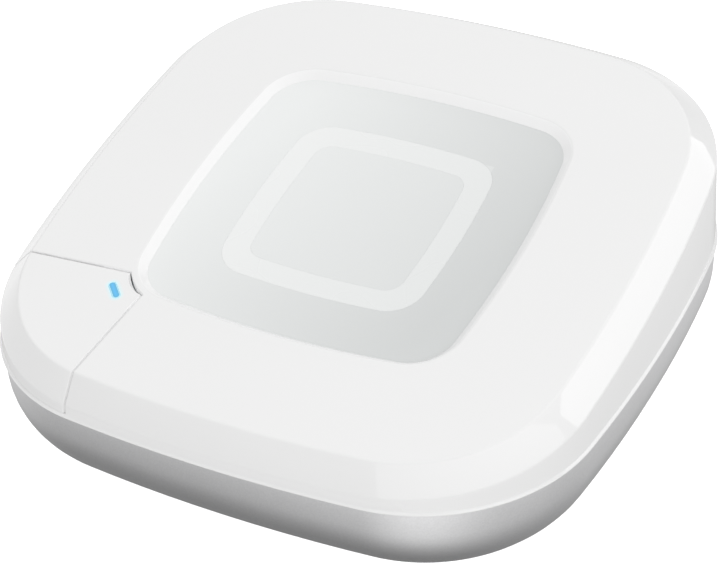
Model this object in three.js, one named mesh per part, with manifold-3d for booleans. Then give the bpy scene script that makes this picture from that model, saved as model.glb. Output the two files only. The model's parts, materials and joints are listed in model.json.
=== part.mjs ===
// Smart home hub: a wedge-shaped rounded-square box, 140 mm wide, that stands on four rubber feet.
// Millimetres. +X is the hub's right, +Y its back and +Z up. The origin is under its centre, on the table.
import * as THREE from 'three';
import { mergeVertices } from 'three/addons/utils/BufferGeometryUtils.js';
import Module from 'manifold-3d';

const wasm = await Module();
wasm.setup();

// ---------------------------------------------------------------- driving dimensions

// Outlines are rounded squares with bowed sides: half width, corner radius, side radius, centre along Y.
const bodyOutline = { half: 70, corner: 38.2, side: 366, centreY: 0 };
const faceOutline = { ...bodyOutline, centreY: -1.37 };
const dishOutline = { half: 39.6, corner: 12, side: 240, centreY: -1.04 };
const ringOuter = { half: 24.6, corner: 8, side: 200, centreY: dishOutline.centreY };
const ringInner = { half: 18.8, corner: 4, side: 190, centreY: dishOutline.centreY };
const lampOutline = { half: 21.7, corner: 6, side: 195, centreY: dishOutline.centreY };
const ringBoardOutline = { half: 34, corner: 8, side: 240, centreY: dishOutline.centreY };

const footDrop = 1.0; // how far the feet stand out of the base
const baseHeight = 22.3; // base underside to the parting plane
const partingZ = footDrop + baseHeight;
const wall = 2.2; // moulded wall thickness
const gap = 0.1; // between pieces that lie against each other

const slope = 0.162; // rise of the top face per millimetre towards the back
const faceRise = 19.24; // parting plane to the top face, at the centre
const bandRise = 13.93; // parting plane to the upper edge of the side band, at the centre
const lipHeight = 0.7; // rounded lip along the cover's lower edge
const lipStep = 0.15; // how far the band stands back from the lip
const bandInset = 0.87; // draft of the band at its upper edge
const faceInset = 6.3; // body outline to the top face's edge: the chamfer's foot on the face
const innerBandDrop = 0.9; // how much lower the inside of the band ends

const baseInset = 0.6; // the base stands back under the lip
const baseBand = 5.8; // straight part of the base below the parting plane
const baseRound = baseHeight - baseBand; // quarter round under the straight part
const tongue = { inset: 2.9, width: 1.2, height: 1.2 }; // rim of the base inside the cover

const dishWallDrop = 1.6; // depth of the dish's sloped wall
const dishWallRun = 1.9; // and how far it slopes inwards
const dishDepth = 3.0; // depth at the dish's centre
const panelThickness = 1.4;
const ledge = { reach: 2.0, drop: 2.9 }; // rim of the cover that the panel is glued under
const panelPeg = { place: 28, radius: 2 }; // pegs under the panel that the light board rests on
const ringInlay = 1.0; // thickness of the light ring
const ringBoardDepth = 8.0; // top of the ring's light board, below the top face
const ringBoardThickness = 1.2;

const boardZ = 23.2; // underside of the main board
const boardThickness = 1.6;
const boardTop = boardZ + boardThickness;
const boardInset = 10;

// Blocks that stand on the main board: centre, width along X, depth along Y and height.
const blocks = {
  processor: { x: -8, y: 8, width: 16, depth: 16, height: 1.1 },
  memoryChip: { x: 14, y: 8, width: 10, depth: 13, height: 1.1 },
  radioBoard: { x: 24, y: -22, width: 18, depth: 25, height: 0.8 },
  radioShield: { x: 24, y: -20, width: 15, depth: 17, height: 1.6 },
  wirelessShield: { x: -6, y: -22, width: 22, depth: 18, height: 2 },
  ribbonSocket: { x: 0, y: 38, width: 10, depth: 4, height: 1.9 },
};
const fins = { count: 6, width: 22, length: 22, base: 1.6, height: 5 };
const aerialPlace = { x: 56, y: -8 };
const buzzerShape = { x: -27, y: -14, radius: 5.5, height: 4, hole: 1 };
const ribbonWidth = 8;
const ribbonThickness = 0.4;

// The corner button: two seams and an arc around the dish's front-left corner.
const seamLeft = { x: -37.4, y: -34.5, angle: THREE.MathUtils.degToRad(4) };
const seamFront = { x: -31.6, y: -40.0, angle: THREE.MathUtils.degToRad(6) };
const seamReach = 70; // runs past the body
const arcRadius = 13.5; // cut in the cover, around the centre of the dish's corner
const arcGap = 0.85;
const seamGap = 0.35;
const skirtGap = 0.3;
// Places at the button's corner are given as distance along the diagonal, offset across it, and height.
const pivot = { along: 74, z: 27 };
const pin = { radius: 0.8, halfLength: 10 };
// Two ribs of the base hold the pin.
const rib = { across: 5, from: 72, neck: 76, to: 79.5, low: 16, eye: 2 };
const ear = { across: 8.5, from: 72, to: 76.5, low: 25, high: 30.5 }; // two ears of the button turn on it
const switchShape = { along: 61.5, width: 6, height: 3.5, plunger: 1.6, plungerTop: 30.02 };
const indicator = { along: 55.5, across: 1.73, length: 5.0, width: 1.7 };

const screwPlaces = [[-45.5, -18], [45.5, -18], [-45.5, 28], [45.5, 28]];
const screw = { head: 2.7, headHeight: 2, shank: 1.3, seatZ: 8, tipZ: 28 };
const screwPost = { pillar: 3, boss: 4.7, counterbore: 3.2, clearance: 0.2 };
const footPlace = 36;
const foot = { radius: 6, pocket: 0.8 };
const vent = { rows: [-33, 33], count: 9, pitch: 6, width: 2, length: 14 };
const label = { width: 44, depth: 26, radius: 2, thickness: 0.3, pocket: 0.5, clearance: 0.2 };
const battery = { width: 56, depth: 36, radius: 3, height: 7, bevel: 1 };

// Sockets in the back, along X, and where their front faces are.
const socketFaceY = 65.2;
const portWindow = { halfWidth: 30, low: 25.2, high: 39 };
const ethernet = { x: -19, width: 16, height: 13.5, depth: 21, mouthDepth: 15 };
const usb = { x: 0, width: 13.2, height: 5.8, depth: 14, lift: 0.8, sheet: 0.4 };
const power = { x: 22, width: 9, height: 11, depth: 14, centreZ: 31.2, hole: 3.2, holeDepth: 10 };
const reset = { x: 11.5, z: 27.6, radius: 1.2, front: 68.3, back: 59.3 };

const sideSteps = 4; // segments of one bowed side
const cornerSteps = 8; // segments of one corner
const quarterSteps = sideSteps + cornerSteps;
const outlineSteps = 4 * quarterSteps;
const roundSteps = 16; // segments of a small round piece

// ---------------------------------------------------------------- solids

const quarterTurn = Math.PI / 2;

/** Joins shared vertices and drops the triangles that a lathe leaves at its axis. */
function weld(geometry) {
  const plain = geometry.clone();
  plain.deleteAttribute('normal');
  plain.deleteAttribute('uv');
  const welded = mergeVertices(plain, 1e-4);
  const corners = welded.index.array;
  const kept = [];
  for (let k = 0; k < corners.length; k += 3) {
    const [a, b, c] = corners.slice(k, k + 3);
    if (a !== b && b !== c && c !== a) kept.push(a, b, c);
  }
  welded.setIndex(kept);
  return welded;
}

function toSolid(geometry) {
  const welded = weld(geometry);
  return new wasm.Manifold(new wasm.Mesh({
    numProp: 3,
    vertProperties: new Float32Array(welded.attributes.position.array),
    triVerts: new Uint32Array(welded.index.array),
  }));
}

function toGeometry(solid) {
  const mesh = solid.getMesh();
  const geometry = new THREE.BufferGeometry();
  geometry.setAttribute('position', new THREE.BufferAttribute(mesh.vertProperties, 3));
  geometry.setIndex(new THREE.BufferAttribute(mesh.triVerts, 1));
  return geometry;
}

/** Joins the added shapes to the first one, then cuts the removed ones out of it. */
function shaped(start, added = [], removed = []) {
  let solid = toSolid(start);
  for (const geometry of added) solid = solid.add(toSolid(geometry));
  for (const geometry of removed) solid = solid.subtract(toSolid(geometry));
  return toGeometry(solid);
}

function common(first, second) {
  return toGeometry(toSolid(first).intersect(toSolid(second)));
}

/** A box from its lowest to its highest corner. */
function boxBetween([x0, y0, z0], [x1, y1, z1]) {
  const box = new THREE.BoxGeometry(x1 - x0, y1 - y0, z1 - z0);
  return box.translate((x0 + x1) / 2, (y0 + y1) / 2, (z0 + z1) / 2);
}

/** A box that stands on a height, centred on x and y. */
function standingBox(x, y, z, width, depth, height) {
  return new THREE.BoxGeometry(width, depth, height).translate(x, y, z + height / 2);
}

/** An upright cylinder between two heights. */
function post(x, y, z0, z1, radius) {
  const cylinder = new THREE.CylinderGeometry(radius, radius, z1 - z0, roundSteps);
  return cylinder.rotateX(quarterTurn).translate(x, y, (z0 + z1) / 2);
}

/** A cylinder along Y between two places. */
function rodAlongY(x, y0, y1, z, radius) {
  const cylinder = new THREE.CylinderGeometry(radius, radius, y1 - y0, roundSteps);
  return cylinder.translate(x, (y0 + y1) / 2, z);
}

/** A flat shape extruded upwards from a height. */
function raised(shape, z, height, curveSegments = 6) {
  const geometry = new THREE.ExtrudeGeometry(shape, { depth: height, bevelEnabled: false, curveSegments });
  return geometry.translate(0, 0, z);
}

/** A rounded rectangle around the origin. */
function roundedRectangle(width, depth, radius) {
  const x = width / 2 - radius;
  const y = depth / 2 - radius;
  const shape = new THREE.Shape();
  shape.absarc(x, y, radius, 0, quarterTurn, false);
  shape.absarc(-x, y, radius, quarterTurn, 2 * quarterTurn, false);
  shape.absarc(-x, -y, radius, 2 * quarterTurn, 3 * quarterTurn, false);
  shape.absarc(x, -y, radius, 3 * quarterTurn, 4 * quarterTurn, false);
  shape.closePath();
  return shape;
}

// ---------------------------------------------------------------- outlines and rings

/** Where the centres of the corner arcs lie, along X and Y, so that corners and sides meet smoothly. */
function cornerCentre({ half, corner, side }) {
  const reach = side - half;
  return (Math.sqrt(2 * (side - corner) ** 2 - reach ** 2) - reach) / 2;
}

/** One point of an outline, moved inwards by the inset. */
function outlinePoint(outline, inset, step) {
  const centre = cornerCentre(outline);
  const sideAngle = Math.atan2(centre, centre + outline.side - outline.half);
  const k = step % quarterSteps;
  const onSide = k < sideSteps;
  const angle = onSide
    ? sideAngle * (2 * k / sideSteps - 1)
    : sideAngle + (quarterTurn - 2 * sideAngle) * (k - sideSteps) / cornerSteps;
  const radius = (onSide ? outline.side : outline.corner) - inset;
  const sideCentre = new THREE.Vector2(outline.half - outline.side, 0);
  const middle = onSide ? sideCentre : new THREE.Vector2(centre, centre);
  const point = middle.add(new THREE.Vector2(Math.cos(angle), Math.sin(angle)).multiplyScalar(radius));
  point.rotateAround(new THREE.Vector2(), quarterTurn * Math.floor(step / quarterSteps));
  return point.setY(point.y + outline.centreY);
}

/** A ring of a lathed body: an outline at a height, which is a number or a function of y. */
function ring(outline, inset, height) {
  return { outline, inset, height, isCentre: false };
}

/** The point where a lathed body closes, on the outline's centre. */
function centreOf(outline, height) {
  return { outline, inset: 0, height, isCentre: true };
}

/** A lathed body whose rings are outlines in place of circles, listed outwards, up and back inwards. */
function ringBody(rings) {
  const profile = rings.map((item, j) => new THREE.Vector2(item.isCentre ? 0 : 1, j));
  const geometry = new THREE.LatheGeometry(profile, outlineSteps);
  const position = geometry.attributes.position;
  for (let i = 0; i <= outlineSteps; i += 1) {
    rings.forEach((item, j) => {
      const point = item.isCentre
        ? new THREE.Vector2(0, item.outline.centreY)
        : outlinePoint(item.outline, item.inset, i % outlineSteps);
      const z = typeof item.height === 'number' ? item.height : item.height(point.y);
      position.setXYZ(i * rings.length + j, point.x, point.y, z);
    });
  }
  return geometry;
}

/** A ring body whose profile closes on itself. */
function hollowRingBody(rings) {
  return ringBody([...rings, rings[0]]);
}

/** Height of the sloped top face. */
function faceZ(y) {
  return partingZ + faceRise + slope * y;
}

/** Height function of a surface that lies a depth below the top face. */
function below(depth) {
  return (y) => faceZ(y) - depth;
}

/** Height function of a surface parallel to the top face, a rise above the parting plane at the centre. */
function parallel(rise) {
  return (y) => partingZ + rise + slope * y;
}

/** Moves a shape made around height 0 onto the slope of the top face. */
function onFace(geometry) {
  const position = geometry.attributes.position;
  for (let k = 0; k < position.count; k += 1) {
    position.setZ(k, position.getZ(k) + faceZ(position.getY(k)));
  }
  return geometry;
}

// ---------------------------------------------------------------- the button's corner

/** A place at the front-left corner: distance from the hub's axis along the diagonal, and across it. */
function cornerPlace(along, across) {
  return new THREE.Vector2(across - along, -across - along).multiplyScalar(Math.SQRT1_2);
}

/** Turns a shape made around the origin to face along the diagonal and puts it at its place. */
function atCorner(geometry, along, across = 0) {
  const place = cornerPlace(along, across);
  return geometry.rotateZ(-quarterTurn / 2).translate(place.x, place.y, 0);
}

/** Where a line first leaves a circle. */
function lineLeavesCircle(start, direction, centre, radius) {
  const offset = start.clone().sub(centre);
  const half = offset.dot(direction);
  const reach = -half + Math.sqrt(half ** 2 - offset.lengthSq() + radius ** 2);
  return start.clone().addScaledVector(direction, reach);
}

/** The button's area seen from above, drawn in by the gaps beside its seams and its arc. */
function buttonShape(sideGap, innerGap) {
  const centre = -cornerCentre(dishOutline);
  const middle = new THREE.Vector2(centre, centre + dishOutline.centreY);
  const radius = arcRadius + innerGap;
  const left = new THREE.Vector2(-Math.cos(seamLeft.angle), -Math.sin(seamLeft.angle));
  const front = new THREE.Vector2(-Math.sin(seamFront.angle), -Math.cos(seamFront.angle));
  const leftStart = new THREE.Vector2(seamLeft.x, seamLeft.y - sideGap);
  const frontStart = new THREE.Vector2(seamFront.x - sideGap, seamFront.y);
  const leftEnd = lineLeavesCircle(leftStart, left, middle, radius);
  const frontEnd = lineLeavesCircle(frontStart, front, middle, radius);
  const from = leftEnd.clone().sub(middle).angle();
  const to = frontEnd.clone().sub(middle).angle();
  const shape = new THREE.Shape();
  shape.moveTo(leftStart.x + seamReach * left.x, leftStart.y + seamReach * left.y);
  shape.lineTo(leftEnd.x, leftEnd.y);
  shape.absarc(middle.x, middle.y, radius, from, to, false);
  shape.lineTo(frontStart.x + seamReach * front.x, frontStart.y + seamReach * front.y);
  shape.lineTo(-seamReach * 1.5, -seamReach * 1.5);
  shape.closePath();
  return shape;
}

/** A cylinder on the pivot pin's line, around a place across the diagonal. */
function pivotRod(radius, halfLength, across = 0) {
  const rod = new THREE.CylinderGeometry(radius, radius, 2 * halfLength, roundSteps);
  return atCorner(rod.rotateZ(quarterTurn), pivot.along, across).translate(0, 0, pivot.z);
}

/** A plate that stands across the pivot pin, from one place along the diagonal to another. */
function cornerPlate(across, alongFrom, alongTo, z0, z1, thickness = 2) {
  const plate = new THREE.BoxGeometry(thickness, alongTo - alongFrom, z1 - z0);
  return atCorner(plate, (alongFrom + alongTo) / 2, across).translate(0, 0, (z0 + z1) / 2);
}

// ---------------------------------------------------------------- shell

/** The cover's skin before its window, button and posts are worked into it. */
function coverSkin() {
  return hollowRingBody([
    ring(bodyOutline, wall, partingZ),
    ring(bodyOutline, lipStep, partingZ),
    ring(bodyOutline, 0, partingZ + lipStep),
    ring(bodyOutline, 0, partingZ + lipHeight - lipStep),
    ring(bodyOutline, lipStep, partingZ + lipHeight),
    ring(bodyOutline, bandInset, parallel(bandRise)),
    ring(faceOutline, faceInset, below(0)),
    ring(dishOutline, 0, below(0)),
    ring(dishOutline, dishWallRun, below(dishWallDrop)),
    ring(dishOutline, dishWallRun, below(ledge.drop)),
    ring(dishOutline, -ledge.reach, below(ledge.drop)),
    ring(dishOutline, -ledge.reach, below(wall)),
    ring(faceOutline, faceInset + innerBandDrop, below(wall)),
    ring(bodyOutline, bandInset + wall, parallel(bandRise - innerBandDrop)),
    ring(bodyOutline, lipStep + wall, partingZ + lipHeight),
  ]);
}

function windowBox(clearance) {
  return boxBetween(
    [clearance - portWindow.halfWidth, socketFaceY - 5, portWindow.low + clearance],
    [portWindow.halfWidth - clearance, bodyOutline.half + 5, portWindow.high - clearance],
  );
}

function topCover() {
  const pillars = screwPlaces.map(([x, y]) => post(x, y, boardZ, faceZ(y) - wall / 2, screwPost.pillar));
  const pilot = screw.shank + screwPost.clearance;
  const pilots = screwPlaces.map(([x, y]) => post(x, y, boardZ - 2, screw.tipZ + 1, pilot));
  const buttonHole = raised(buttonShape(0, 0), partingZ + lipHeight, 60);
  return shaped(coverSkin(), pillars, [...pilots, buttonHole, windowBox(0)]);
}

/** The quarter round between the base's band and its underside, as rings at an offset inside the wall. */
function baseRoundRings(inwards, steps = 5) {
  const radius = baseRound - inwards;
  return Array.from({ length: steps + 1 }, (_, k) => {
    const angle = quarterTurn * (1 - k / steps);
    const inset = baseInset + inwards + radius * (1 - Math.cos(angle));
    return ring(bodyOutline, inset, partingZ - baseBand - radius * Math.sin(angle));
  });
}

function baseShell() {
  const rim = partingZ - gap;
  const skin = ringBody([
    centreOf(bodyOutline, footDrop),
    ...baseRoundRings(0),
    ring(bodyOutline, baseInset, rim),
    ring(bodyOutline, tongue.inset, rim),
    ring(bodyOutline, tongue.inset, partingZ + tongue.height),
    ring(bodyOutline, tongue.inset + tongue.width, partingZ + tongue.height),
    ring(bodyOutline, tongue.inset + tongue.width, partingZ - baseBand),
    ...baseRoundRings(wall).reverse().slice(1),
    centreOf(bodyOutline, footDrop + wall),
  ]);
  const bosses = screwPlaces.map(([x, y]) => post(x, y, footDrop + wall / 2, boardZ - gap, screwPost.boss));
  const ribs = [-rib.across, rib.across].flatMap((across) => [
    cornerPlate(across, rib.from, rib.to, rib.low, partingZ - 2 * gap),
    cornerPlate(across, rib.from, rib.neck, partingZ - 1, pivot.z),
    pivotRod(rib.eye, 1, across),
  ]);
  const counterbores = screwPlaces.flatMap(([x, y]) => [
    post(x, y, 0, screw.seatZ, screwPost.counterbore),
    post(x, y, 0, boardZ + 1, screw.shank + screwPost.clearance),
  ]);
  const pockets = footPlaces().map(([x, y]) => post(x, y, 0, footDrop + foot.pocket, foot.radius + 2 * gap));
  const slot = roundedRectangle(vent.width, vent.length, vent.width / 2 - 0.01);
  const vents = vent.rows.flatMap((y) => Array.from({ length: vent.count }, (_, k) => {
    const x = vent.pitch * (k - (vent.count - 1) / 2);
    return raised(slot, 0, footDrop + wall + 1, 2).translate(x, y, 0);
  }));
  const labelPocket = raised(labelShape(label.clearance), 0, footDrop + label.pocket, 3);
  return shaped(skin, [...bosses, ...ribs], [
    ...counterbores, ...pockets, ...vents, labelPocket, pivotRod(pin.radius + 0.15, pin.halfLength - 2),
  ]);
}

function footPlaces() {
  return [[-1, -1], [1, -1], [-1, 1], [1, 1]].map(([x, y]) => [x * footPlace, y * footPlace]);
}

function cornerButton() {
  const area = raised(buttonShape(seamGap, arcGap), partingZ + lipHeight + skirtGap, 60);
  const cap = common(coverSkin(), area);
  const ears = [-ear.across, ear.across].map((across) => {
    return cornerPlate(across, ear.from, ear.to, ear.low, ear.high);
  });
  const place = cornerPlace(switchShape.along, 0);
  const plungerPost = post(place.x, place.y, switchShape.plungerTop + 0.13, faceZ(place.y) - wall / 2, 2);
  return shaped(cap, [...ears, plungerPost], [
    indicatorPill(0.15, -4, 1),
    pivotRod(pin.radius + 0.25, pin.halfLength + 2),
  ]);
}

/** The indicator's stadium shape between two heights over the top face, grown by a clearance. */
function indicatorPill(grow, low, high) {
  const width = indicator.width + 2 * grow;
  const length = indicator.length + 2 * grow;
  const pill = raised(roundedRectangle(length, width, width / 2 - 0.01), low, high - low);
  return onFace(atCorner(pill, indicator.along, indicator.across));
}

/** Light pipe with a collar under the button's skin; it ends over the status lamp. */
function lightPipe() {
  const collar = indicatorPill(0.7, -3.6, -2.5);
  return shaped(indicatorPill(0, -9.2, 0.05), [collar]);
}

// ---------------------------------------------------------------- dish and light ring

/** Depth of the dish at a share of its half width: a shallow parabola. */
function dishDepthAt(halfWidth) {
  return dishDepth - (dishDepth - dishWallDrop) * (halfWidth / dishOutline.half) ** 2;
}

function dishPanel() {
  const outer = dishDepthAt(ringOuter.half);
  const inner = dishDepthAt(ringInner.half);
  const outerMiddle = (dishOutline.half + ringOuter.half) / 2;
  const innerMiddle = 0.8 * ringInner.half;
  const panel = ringBody([
    centreOf(dishOutline, below(dishDepth + panelThickness)),
    ring(ringInner, 0, below(dishDepth + panelThickness)),
    ring(dishOutline, -ledge.reach + 0.3, below(dishDepth + panelThickness - 0.2)),
    ring(dishOutline, -ledge.reach + 0.3, below(ledge.drop + gap)),
    ring(dishOutline, dishWallRun + gap, below(ledge.drop + gap)),
    ring(dishOutline, dishWallRun + gap, below(dishWallDrop)),
    ring(dishOutline, dishOutline.half - outerMiddle, below(dishDepthAt(outerMiddle))),
    ring(ringOuter, -gap, below(outer)),
    ring(ringOuter, -gap, below(outer + ringInlay + gap)),
    ring(ringInner, gap, below(inner + ringInlay + gap)),
    ring(ringInner, gap, below(inner)),
    ring(ringInner, ringInner.half - innerMiddle, below(dishDepthAt(innerMiddle))),
    centreOf(dishOutline, below(dishDepth)),
  ]);
  const pegLow = gap - ringBoardDepth;
  const pegs = [[-1, -1], [1, -1], [-1, 1], [1, 1]].map(([x, y]) => {
    const place = [panelPeg.place * x, panelPeg.place * y + dishOutline.centreY];
    return onFace(post(...place, pegLow, -dishDepth - panelThickness / 2, panelPeg.radius));
  });
  return shaped(panel, pegs);
}

function lightRing() {
  const outer = dishDepthAt(ringOuter.half);
  const inner = dishDepthAt(ringInner.half);
  return hollowRingBody([
    ring(ringInner, 0, below(inner + ringInlay)),
    ring(ringOuter, 0, below(outer + ringInlay)),
    ring(ringOuter, 0, below(outer)),
    ring(ringInner, 0, below(inner)),
  ]);
}

function ringLightBoard() {
  return ringBody([
    centreOf(ringBoardOutline, below(ringBoardDepth + ringBoardThickness)),
    ring(ringBoardOutline, 0, below(ringBoardDepth + ringBoardThickness)),
    ring(ringBoardOutline, 0, below(ringBoardDepth)),
    centreOf(ringBoardOutline, below(ringBoardDepth)),
  ]);
}

/** One of eight lamps under the light ring, at the middles of its sides and corners. */
function ringLamp(index) {
  const offset = index % 2 === 0 ? sideSteps / 2 : sideSteps + cornerSteps / 2;
  const place = outlinePoint(lampOutline, 0, quarterSteps * Math.floor(index / 2) + offset);
  return onFace(standingBox(place.x, place.y, gap - ringBoardDepth, 3.5, 3.5, 1.2));
}

// ---------------------------------------------------------------- main board and what is on it

function mainBoard() {
  const plate = ringBody([
    centreOf(bodyOutline, boardZ),
    ring(bodyOutline, boardInset, boardZ),
    ring(bodyOutline, boardInset, boardTop),
    centreOf(bodyOutline, boardTop),
  ]);
  const hole = screwPost.pillar + 3 * gap;
  return shaped(plate, [], screwPlaces.map(([x, y]) => post(x, y, boardZ - 1, boardTop + 1, hole)));
}

/** A block that stands on the main board, or a lift above it. */
function onBoard({ x, y, width, depth, height }, lift = 0) {
  return standingBox(x, y, boardTop + gap + lift, width, depth, height);
}

function switchBody() {
  const { along, width, height, plunger } = switchShape;
  const place = cornerPlace(along, 0);
  const body = atCorner(standingBox(0, 0, boardTop + gap, width, width, height), along);
  return shaped(body, [], [post(place.x, place.y, boardTop + 1.2, boardTop + height + 1, plunger + 0.2)]);
}

function switchPlunger() {
  const { along, plunger, plungerTop } = switchShape;
  const place = cornerPlace(along, 0);
  return post(place.x, place.y, boardTop + 2, plungerTop, plunger);
}

function statusLamp() {
  return atCorner(standingBox(0, 0, boardTop + gap, 3, 1.5, 0.9), indicator.along, indicator.across);
}

/** Finned heatsink on the processor, drawn as a comb and extruded along Y. */
function heatsink() {
  const { count, width, length, base, height } = fins;
  const { processor } = blocks;
  const shape = new THREE.Shape();
  const pitch = width / (count - 0.5);
  shape.moveTo(-width / 2, 0);
  shape.lineTo(width / 2, 0);
  for (let k = 0; k < count; k += 1) {
    const right = width / 2 - k * pitch;
    shape.lineTo(right, height);
    shape.lineTo(right - pitch / 2, height);
    if (k < count - 1) {
      shape.lineTo(right - pitch / 2, base);
      shape.lineTo(right - pitch, base);
    }
  }
  shape.closePath();
  const comb = new THREE.ExtrudeGeometry(shape, { depth: length, bevelEnabled: false }).rotateX(quarterTurn);
  return comb.translate(processor.x, processor.y + length / 2, boardTop + processor.height + 2 * gap);
}

/** Stamped inverted-F aerial on two legs that stands along the board's edge. */
function aerial(side) {
  const outline = [[0, 0], [2, 0], [2, 5], [6, 5], [6, 0], [8, 0], [8, 5], [26, 5], [26, 7.5], [0, 7.5]];
  const shape = new THREE.Shape(outline.map(([x, y]) => new THREE.Vector2(x, y)));
  const plate = new THREE.ExtrudeGeometry(shape, { depth: 0.5, bevelEnabled: false });
  plate.rotateX(quarterTurn).rotateZ(quarterTurn);
  return plate.translate(side * aerialPlace.x, aerialPlace.y, boardTop + gap);
}

function buzzer() {
  const { x, y, radius, height, hole } = buzzerShape;
  const low = boardTop + gap;
  const sound = post(x, y, low + height / 2, low + height + 1, hole);
  return shaped(post(x, y, low, low + height, radius), [], [sound]);
}

/** Flat ribbon between the two boards: a bent strip extruded along X. */
function ribbon() {
  const path = new THREE.SplineCurve([
    new THREE.Vector2(25.7, 36.6),
    new THREE.Vector2(30, 35.6),
    new THREE.Vector2(35.5, 33),
    new THREE.Vector2(38, 27.1),
  ]);
  const steps = 10;
  const sides = [0.5, -0.5].map((share) => Array.from({ length: steps + 1 }, (_, k) => {
    const tangent = path.getTangent(k / steps);
    const normal = new THREE.Vector2(-tangent.y, tangent.x);
    return path.getPoint(k / steps).addScaledVector(normal, share * ribbonThickness);
  }));
  const shape = new THREE.Shape([...sides[0], ...sides[1].reverse()]);
  const strip = new THREE.ExtrudeGeometry(shape, { depth: ribbonWidth, bevelEnabled: false });
  return strip.rotateX(quarterTurn).rotateZ(quarterTurn).translate(-ribbonWidth / 2, 0, 0);
}

function ringSocket() {
  const top = faceZ(24) - ringBoardDepth - ringBoardThickness;
  return boxBetween([-5, 22, top - 2.4], [5, 25.3, top - 0.6]);
}

// ---------------------------------------------------------------- sockets in the back

function ethernetJack() {
  const { x, width, height, depth, mouthDepth } = ethernet;
  const low = boardTop + gap;
  const body = boxBetween(
    [x - width / 2, socketFaceY - depth, low],
    [x + width / 2, socketFaceY, low + height],
  );
  const mouth = boxBetween(
    [x - 5.9, socketFaceY - mouthDepth, low + 1.4],
    [x + 5.9, socketFaceY + 1, low + 9.6],
  );
  const latch = boxBetween([x - 3.1, socketFaceY - 12, low + 9], [x + 3.1, socketFaceY + 1, low + 11.8]);
  return shaped(body, [], [mouth, latch]);
}

/** The eight contact wires of the Ethernet jack on their shared carrier. */
function ethernetContacts() {
  const back = socketFaceY - ethernet.mouthDepth + gap;
  const low = boardTop + gap + 1.5;
  const carrier = boxBetween([ethernet.x - 5.2, back, low], [ethernet.x + 5.2, back + 1.2, low + 2.2]);
  const wires = Array.from({ length: 8 }, (_, k) => {
    const x = ethernet.x + 1.27 * (k - 3.5);
    return boxBetween([x - 0.25, back + 0.6, low + 0.8], [x + 0.25, back + 6, low + 1.4]);
  });
  return shaped(carrier, wires);
}

function usbShell() {
  const { x, width, height, depth, lift, sheet } = usb;
  const low = boardTop + gap + lift;
  const body = boxBetween(
    [x - width / 2, socketFaceY - depth, low],
    [x + width / 2, socketFaceY, low + height],
  );
  const legs = boxBetween(
    [x - width / 2, socketFaceY - depth, boardTop + gap],
    [x + width / 2, 58, low + 0.2],
  );
  const mouth = boxBetween(
    [x - width / 2 + sheet, socketFaceY - depth + 1, low + sheet],
    [x + width / 2 - sheet, socketFaceY + 1, low + height - sheet],
  );
  return shaped(body, [legs], [mouth]);
}

function usbTongue() {
  const low = boardTop + gap + usb.lift + 3.1;
  const back = socketFaceY - usb.depth + 1 + gap;
  return boxBetween([usb.x - 5.4, back, low], [usb.x + 5.4, socketFaceY - 1.2, low + 1.9]);
}

function powerJack() {
  const { x, width, height, depth, centreZ, hole, holeDepth } = power;
  const low = boardTop + gap;
  const body = boxBetween(
    [x - width / 2, socketFaceY - depth, low],
    [x + width / 2, socketFaceY, low + height],
  );
  return shaped(body, [], [rodAlongY(x, socketFaceY - holeDepth, socketFaceY + 1, centreZ, hole)]);
}

function powerPin() {
  return rodAlongY(power.x, socketFaceY - power.holeDepth + gap, socketFaceY - 1, power.centreZ, 1);
}

/** Reset button: a small rod with a flange that keeps it behind the bezel. */
function resetButton() {
  const { x, z, radius, front, back } = reset;
  return shaped(rodAlongY(x, back, front, z, radius), [rodAlongY(x, 63, 64.2, z, 2)]);
}

function resetSwitch() {
  const { x, z, radius, back } = reset;
  const body = boxBetween([x - 3, back - 4.3, boardTop + gap], [x + 3, back + 1.3, boardTop + 5]);
  return shaped(body, [], [rodAlongY(x, back - 1, back + 2, z, radius + 0.3)]);
}

/** The insert in the cover's back window, with a hole in front of each socket. */
function portBezel() {
  const low = boardTop + gap;
  const [back, front] = [socketFaceY - 5, bodyOutline.half + 5];
  const holes = [
    boxBetween([ethernet.x - 6.3, back, low + 1], [ethernet.x + 6.3, front, low + 12.2]),
    boxBetween([usb.x - 6.8, back, low + usb.lift], [usb.x + 6.8, front, low + usb.lift + usb.height + 0.2]),
    rodAlongY(power.x, back, front, power.centreZ, 4),
    rodAlongY(reset.x, back, front, reset.z, reset.radius + 0.3),
  ];
  return shaped(common(coverSkin(), windowBox(gap)), [], holes);
}

// ---------------------------------------------------------------- fasteners, feet and battery

/** Pan-head screw with a cross recess, driven upwards from the underside. */
function coverScrew(x, y) {
  const { head, headHeight, shank, seatZ, tipZ } = screw;
  const top = seatZ - gap;
  const profile = [
    [0, top - headHeight], [head - 0.6, top - headHeight], [head, top - headHeight + 0.6],
    [head, top], [shank, top], [shank, tipZ - 1], [0, tipZ],
  ].map(([r, z]) => new THREE.Vector2(r, z));
  const body = new THREE.LatheGeometry(profile, roundSteps).rotateX(quarterTurn);
  const recess = [[3, 0.8], [0.8, 3]].map(([width, depth]) => {
    return standingBox(0, 0, top - headHeight - 1, width, depth, 2);
  });
  return shaped(body, [], recess).translate(x, y, 0);
}

function rubberFoot(x, y) {
  const profile = [[0, 0], [foot.radius - 0.5, 0], [foot.radius, 0.5], [foot.radius, 1], [0, 1]];
  const height = footDrop + foot.pocket - gap;
  const points = profile.map(([r, share]) => new THREE.Vector2(r, share * height));
  return new THREE.LatheGeometry(points, roundSteps).rotateX(quarterTurn).translate(x, y, 0);
}

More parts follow.
